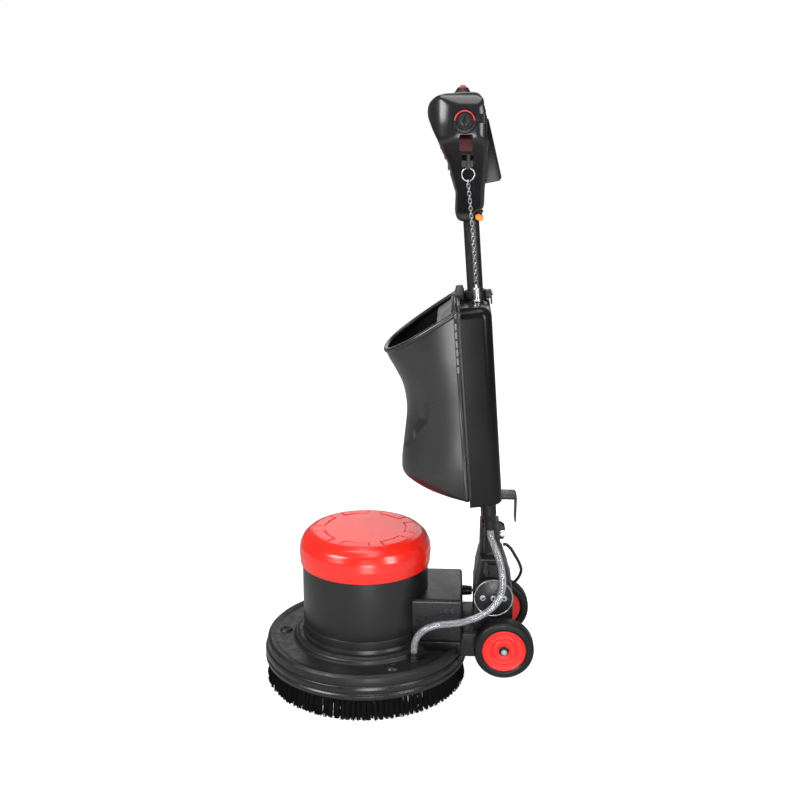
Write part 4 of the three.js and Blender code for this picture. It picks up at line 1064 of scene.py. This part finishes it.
def make_console_trim():
    """The panel behind the head, the louvres and the strip in front, and in the windows at the sides slabs of
    the levers' red in painted shade.
    """
    wedge = prism(fillet([(234, 1176), (243, 1176), (270, 1067), (266.5, 1060.5), (234, 1054)], 3), -42, 42)
    # Painted shade: the rear panel takes the same darkened grey as the tank's rear half.
    add("rear_panel", wedge, "handle", SHADED_GREY, slot="console_black", bevel=3, segments=4)
    slope = [Vector(p) for p in ((150, 1140), (158, 1119), (166.5, 1100), (173, 1079))]
    louvres = []
    for top, foot in zip(slope, slope[1:]):
        along = (foot - top).normalized()
        out = Vector((along.y, -along.x))
        a, b = top + along * 2, foot - along * 1.5
        louvre = [a + out * 0.6, b + out * 5.4, b - out * 4, a - out * 4]
        louvres.append(prism(fillet(louvre, 1.4), -34, 34))
    add("front_louvres", joined(*louvres), "handle", ABS, bevel=0.8)
    strip = prism(fillet([(171, 1073), (176, 1074), (185, 1042), (181, 1041)], 0.8), -26, 26)
    add("front_strip", strip, "handle", TRIM, bevel=0.6)
    for name, side in SIDES:
        # Painted shade: a dark red slab in each window stands for the start lever's red seen in shadow.
        add(f"window_{name}", slab(188, 212, 1122, 1143, *mirrored(side, 168, 174), 4), "handle", SHADED_LEVER_RED)


def make_grips():
    """Each grip with its ribs, and at its outer end a red arc, a dark seat and a slotted knob."""
    bar = [(0, 46.6), (14.2, 47)]
    for rib in range(17):
        y = 52.0 + rib * 7.2
        bar += [(14.9, y), (14.9, y + 4.4), (13.9, y + 5.2), (13.9, y + 6.4)]
    bar += [(14.9, 176), (14.9, 180), (0, 180)]
    arc_ring = [(16, 183), (18.8, 183), (18.8, 188), (18.2, 189.6), (16.6, 189.6), (16, 188.8)]
    seat = [(15.4, 182), (21.8, 182), (21.8, 184.6), (17.2, 185.2), (15.4, 185.2)]
    knob = [(0, 180.2), (14.6, 180.2), (14.6, 189.2), (13.8, 190.6), (12.6, 190.8), (11.8, 189.8), (0, 189.6)]
    for name, side in SIDES:
        grip = lying(solid, side, bar, GRIP_X, GRIP_Z, 64, 0.6, 2)
        add(f"grip_bar_{name}", grip, "handle", TRIM, f"grip_{name}")
        band = build(f"cap_band_{name}", lying(ring, side, arc_ring, GRIP_X, GRIP_Z, 96, 0.7, 3))
        cut(band, block(GRIP_X - 30, GRIP_X + 30, *mirrored(side, 180, 195), GRIP_Z - 30, GRIP_Z + 1))
        show(band, "handle", ARC_RED, f"cap_ring_{name}")
        add(f"cap_seat_{name}", lying(ring, side, seat, GRIP_X, GRIP_Z, 96), "handle", TRIM)
        cap = build(f"end_knob_{name}", lying(solid, side, knob, GRIP_X, GRIP_Z, 96, 0.5, 3))
        cut(cap, block(GRIP_X - 1.1, GRIP_X + 1.1, *mirrored(side, 187, 193), GRIP_Z - 10, GRIP_Z + 10))
        show(cap, "handle", TRIM)


def make_levers():
    """The two start levers, the lever that frees the tilt, and the one that lifts the chain."""
    outline = fillet([(160, 1137), (190, 1128), (213, 1127), (214, 1144), (206, 1147), (190, 1146),
                      (172, 1149), (162, 1149)], 4)
    for name, side in SIDES:
        lever = f"start_lever_{name}"
        paddle = prism(outline, *mirrored(side, 54, 126))
        # Painted shade: the paddles take the levers' red darkened for the shadow inside the limbs.
        add(f"squeeze_lever_{name}", paddle, lever, SHADED_LEVER_RED, lever, bevel=2.6, segments=4)
        pin = [(0, 46.5), (3.5, 46.5), (3.5, 132), (0, 132)]
        add(f"lever_pin_{name}", lying(solid, side, pin, 166, 1143, 24), lever, ZINC)
    end = fillet([(220, 994), (228, 997), (238, 988), (233, 981), (222, 986)], 3)
    tip = build("release_tip", prism(end, -28, 28), bevel=1.6, segments=4)
    cut(tip, rod(21.6, 740, 840, 64), where=HANDLE)
    show(tip, "tilt_lever", ORANGE, "tilt_lever")
    arm = prism(fillet([(217.6, 995), (234, 993), (238, 1000), (234, 1002.5), (217.6, 999.2)], 1), -4.3, 4.3)
    add("release_arm", arm, "tilt_lever", TRIM, bevel=0.6)
    lift = prism(fillet([(178, 1114), (236, 1114), (238, 1117), (234, 1120), (178, 1120)], 1.6), -144, -134)
    add("lift_lever", lift, "solution_lever", TRIM, "solution_lever", bevel=1.2)


def make_button():
    boot = [(7, 1219), (15.8, 1219), (15.8, 1224.4), (14.2, 1225.6), (10.4, 1231.6), (8.4, 1233), (7, 1233)]
    add("button_boot", moved(ring(boot, 64, 0.8, 3), BUTTON), "handle", TRIM, "button_base")
    cap = [(0, 1203), (6.4, 1203), (6.4, 1232.6), (5.8, 1235), (4.2, 1236.6), (2, 1237.3), (0, 1237.4)]
    add("button_cap", moved(solid(cap, 48), BUTTON), "safety_button", HUB, "safety_button", slot="hood_red")


# ---- Pull chain ----
RING_X, RING_Y, RING_Z, RING_RADIUS = 205, -139, 1079, 11.7
STRAP_Z = 1117
CHAIN_POINTS = [(225.2, -40, 862), (219.5, -69, 930), (212, -104, 1005), (205, -139, 1067)]
LINKS, LINK_WIRE, LINK_WIDTH = 28, 1.0, 7.6


def link(length, turn):
    """A chain link lying along z: two half rounds joined by straights."""
    radius = LINK_WIDTH / 2 - LINK_WIRE
    straight = length / 2 - LINK_WIDTH / 2
    turns = [math.pi * (k / 8 - 0.5) for k in range(9)]
    loop = [(radius * math.sin(a), 0, straight + radius * math.cos(a)) for a in turns]
    loop += [(-x, y, -z) for x, y, z in loop]
    return moved(sweep(loop, LINK_WIRE, 10, looped=True), Matrix.Rotation(turn, 4, "Z"))


def make_chain():
    """The chain's links at even steps along its path, every other one a quarter turn on; ring and strap."""
    path = spline(CHAIN_POINTS, 40)
    total = length_of(path)
    pitch = (total + 4) / LINKS
    links, walked, index = [], 0.0, 0
    for number in range(LINKS):
        target = min(pitch * (number + 0.5) - 2, total - 0.01)
        while index < len(path) - 2 and walked + (path[index + 1] - path[index]).length < target:
            walked += (path[index + 1] - path[index]).length
            index += 1
        along = (path[index + 1] - path[index]).normalized()
        point = path[index] + along * (target - walked)
        facing = along.to_track_quat("Z", "X").to_matrix().to_4x4()
        turn = math.radians(28 if number % 2 else 118)
        links.append(moved(link(pitch + 3.9, turn), Matrix.Translation(point) @ facing))
    add("chain_links", joined(*links), "valve_pull", NICKEL, "pull_chain", sharp=70)
    turns = [2 * math.pi * k / 64 for k in range(64)]
    circle = [(RING_X + RING_RADIUS * math.cos(a), RING_Y, RING_Z + RING_RADIUS * math.sin(a)) for a in turns]
    add("split_ring", sweep(circle, 1.3, 12, looped=True), "valve_pull", NICKEL, sharp=70)
    x, y, z, low = RING_X, RING_Y, STRAP_Z, RING_Z + 9
    loop = [(y + 1.4, low), (y - 1.4, low), (y - 1.4, z - 6.4), (y - 7.8, z - 6.4), (y - 7.8, z + 6.4),
            (y + 7.8, z + 6.4), (y + 7.8, z - 6.4), (y + 1.4, z - 6.4)]
    band = build("strap", prism(fillet(loop, 1), x - 3.4, x + 3.4, "X"), bevel=0.6)
    cut(band, block(x - 8, x + 8, y - 6, y + 6, z - 4.3, z + 4.3))
    show(band, "valve_pull", TRIM)


# ---- Inside ----
INSIDE = {
    "pivot_pin": ZINC, "axle": ZINC, "run_capacitor": CAN, "motor_casing": ROLLED, "stator": COPPER,
    "lower_shield": ROLLED, "lower_bearing": BRIGHT, "gear_housing": CAST, "ring_gear": GEAR,
    "output_bearing": BRIGHT, "motor_shaft": ROLLED, "rotor_core": ROLLED, "cooling_fan": TRIM,
    "planet_carrier": GEAR, "planet_gear_1": BRONZE, "planet_gear_2": BRONZE, "planet_gear_3": BRONZE,
    "drive_plate": ZINC, "lock_rod": ZINC,
}


def dress_inside():
    """The CAD's own pieces that the covers hide keep their shapes and take a finish."""
    for name, look in INSIDE.items():
        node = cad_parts[name]
        node.data.materials.clear()
        node.data.materials.append(look)


# ---- Stage ----
# Each lamp's name, place and size in metres, and power in watts.
LAMPS = (
    ("key", (-1.9, -1.5, 2.0), (1.1, 1.5), 72),
    ("fill", (1.9, -1.7, 1.5), (0.7, 1.7), 38),
    ("top", (0.1, 0.1, 3.0), (1.8, 1.8), 40),
    ("front", (0.2, -1.9, 0.45), (0.6, 0.9), 17),
    ("back", (0.0, 2.4, 1.35), (2.2, 1.3), 9.5),
)
LAMPS_AIM = Vector((0.05, 0, 0.5))
FLOOR_HALF = 9000
FLOOR_LEVELS, WORLD_LEVELS = (0.0, 0.93), (0.17, 1.0)


def seen_level(nodes, links, unseen, seen):
    """One level for the light that surfaces gather, unseen, and one for where it is looked at, seen."""
    straight = nodes.new("ShaderNodeLightPath").outputs["Is Camera Ray"]
    level = set_inputs(nodes.new("ShaderNodeMapRange"), To_Min=unseen, To_Max=seen)
    links.new(straight, level.inputs["Value"])
    return level.outputs["Result"]


def make_floor():
    half = FLOOR_HALF
    floor = build("floor", grid([[(-half, -half, 0), (half, -half, 0)], [(-half, half, 0), (half, half, 0)]]))
    material, nodes, links, shader = new_material("pale_floor")
    set_inputs(shader, Base_Color=(0.45, 0.45, 0.45, 1), Roughness=0.9, Emission_Color=(1, 1, 1, 1))
    links.new(seen_level(nodes, links, *FLOOR_LEVELS), shader.inputs["Emission Strength"])
    floor.data.materials.append(material)


def make_studio():
    scene = bpy.context.scene
    scene.view_settings.view_transform = "Standard"
    world = bpy.data.worlds.new("studio")
    world.use_nodes = True
    nodes, links = world.node_tree.nodes, world.node_tree.links
    background = set_inputs(nodes["Background"], Color=(1, 1, 1, 1))
    links.new(seen_level(nodes, links, *WORLD_LEVELS), background.inputs["Strength"])
    scene.world = world
    for name, spot, size, power in LAMPS:
        data = bpy.data.lights.new(name, "AREA")
        data.shape = "RECTANGLE"
        data.size, data.size_y = size
        data.energy = power
        lamp = bpy.data.objects.new(name, data)
        lamp.location = spot
        lamp.visible_camera = False
        lamp.rotation_euler = (LAMPS_AIM - Vector(spot)).to_track_quat("-Z", "Y").to_euler()
        scene.collection.objects.link(lamp)


for make in (
    make_deck, make_bumper, make_deck_bosses, make_tufts, make_brush_block, make_shroud, make_hood,
    make_frame, make_discs, make_box, make_gland, make_barb, make_wheels, make_casting, make_tube,
    make_hook, make_bucket, make_flange, make_flange_bands, make_tank_back, make_cover, make_clamp,
    make_valve, make_console, make_console_trim, make_grips, make_levers, make_button, make_chain,
    dress_inside, make_floor, make_studio,
):
    make()
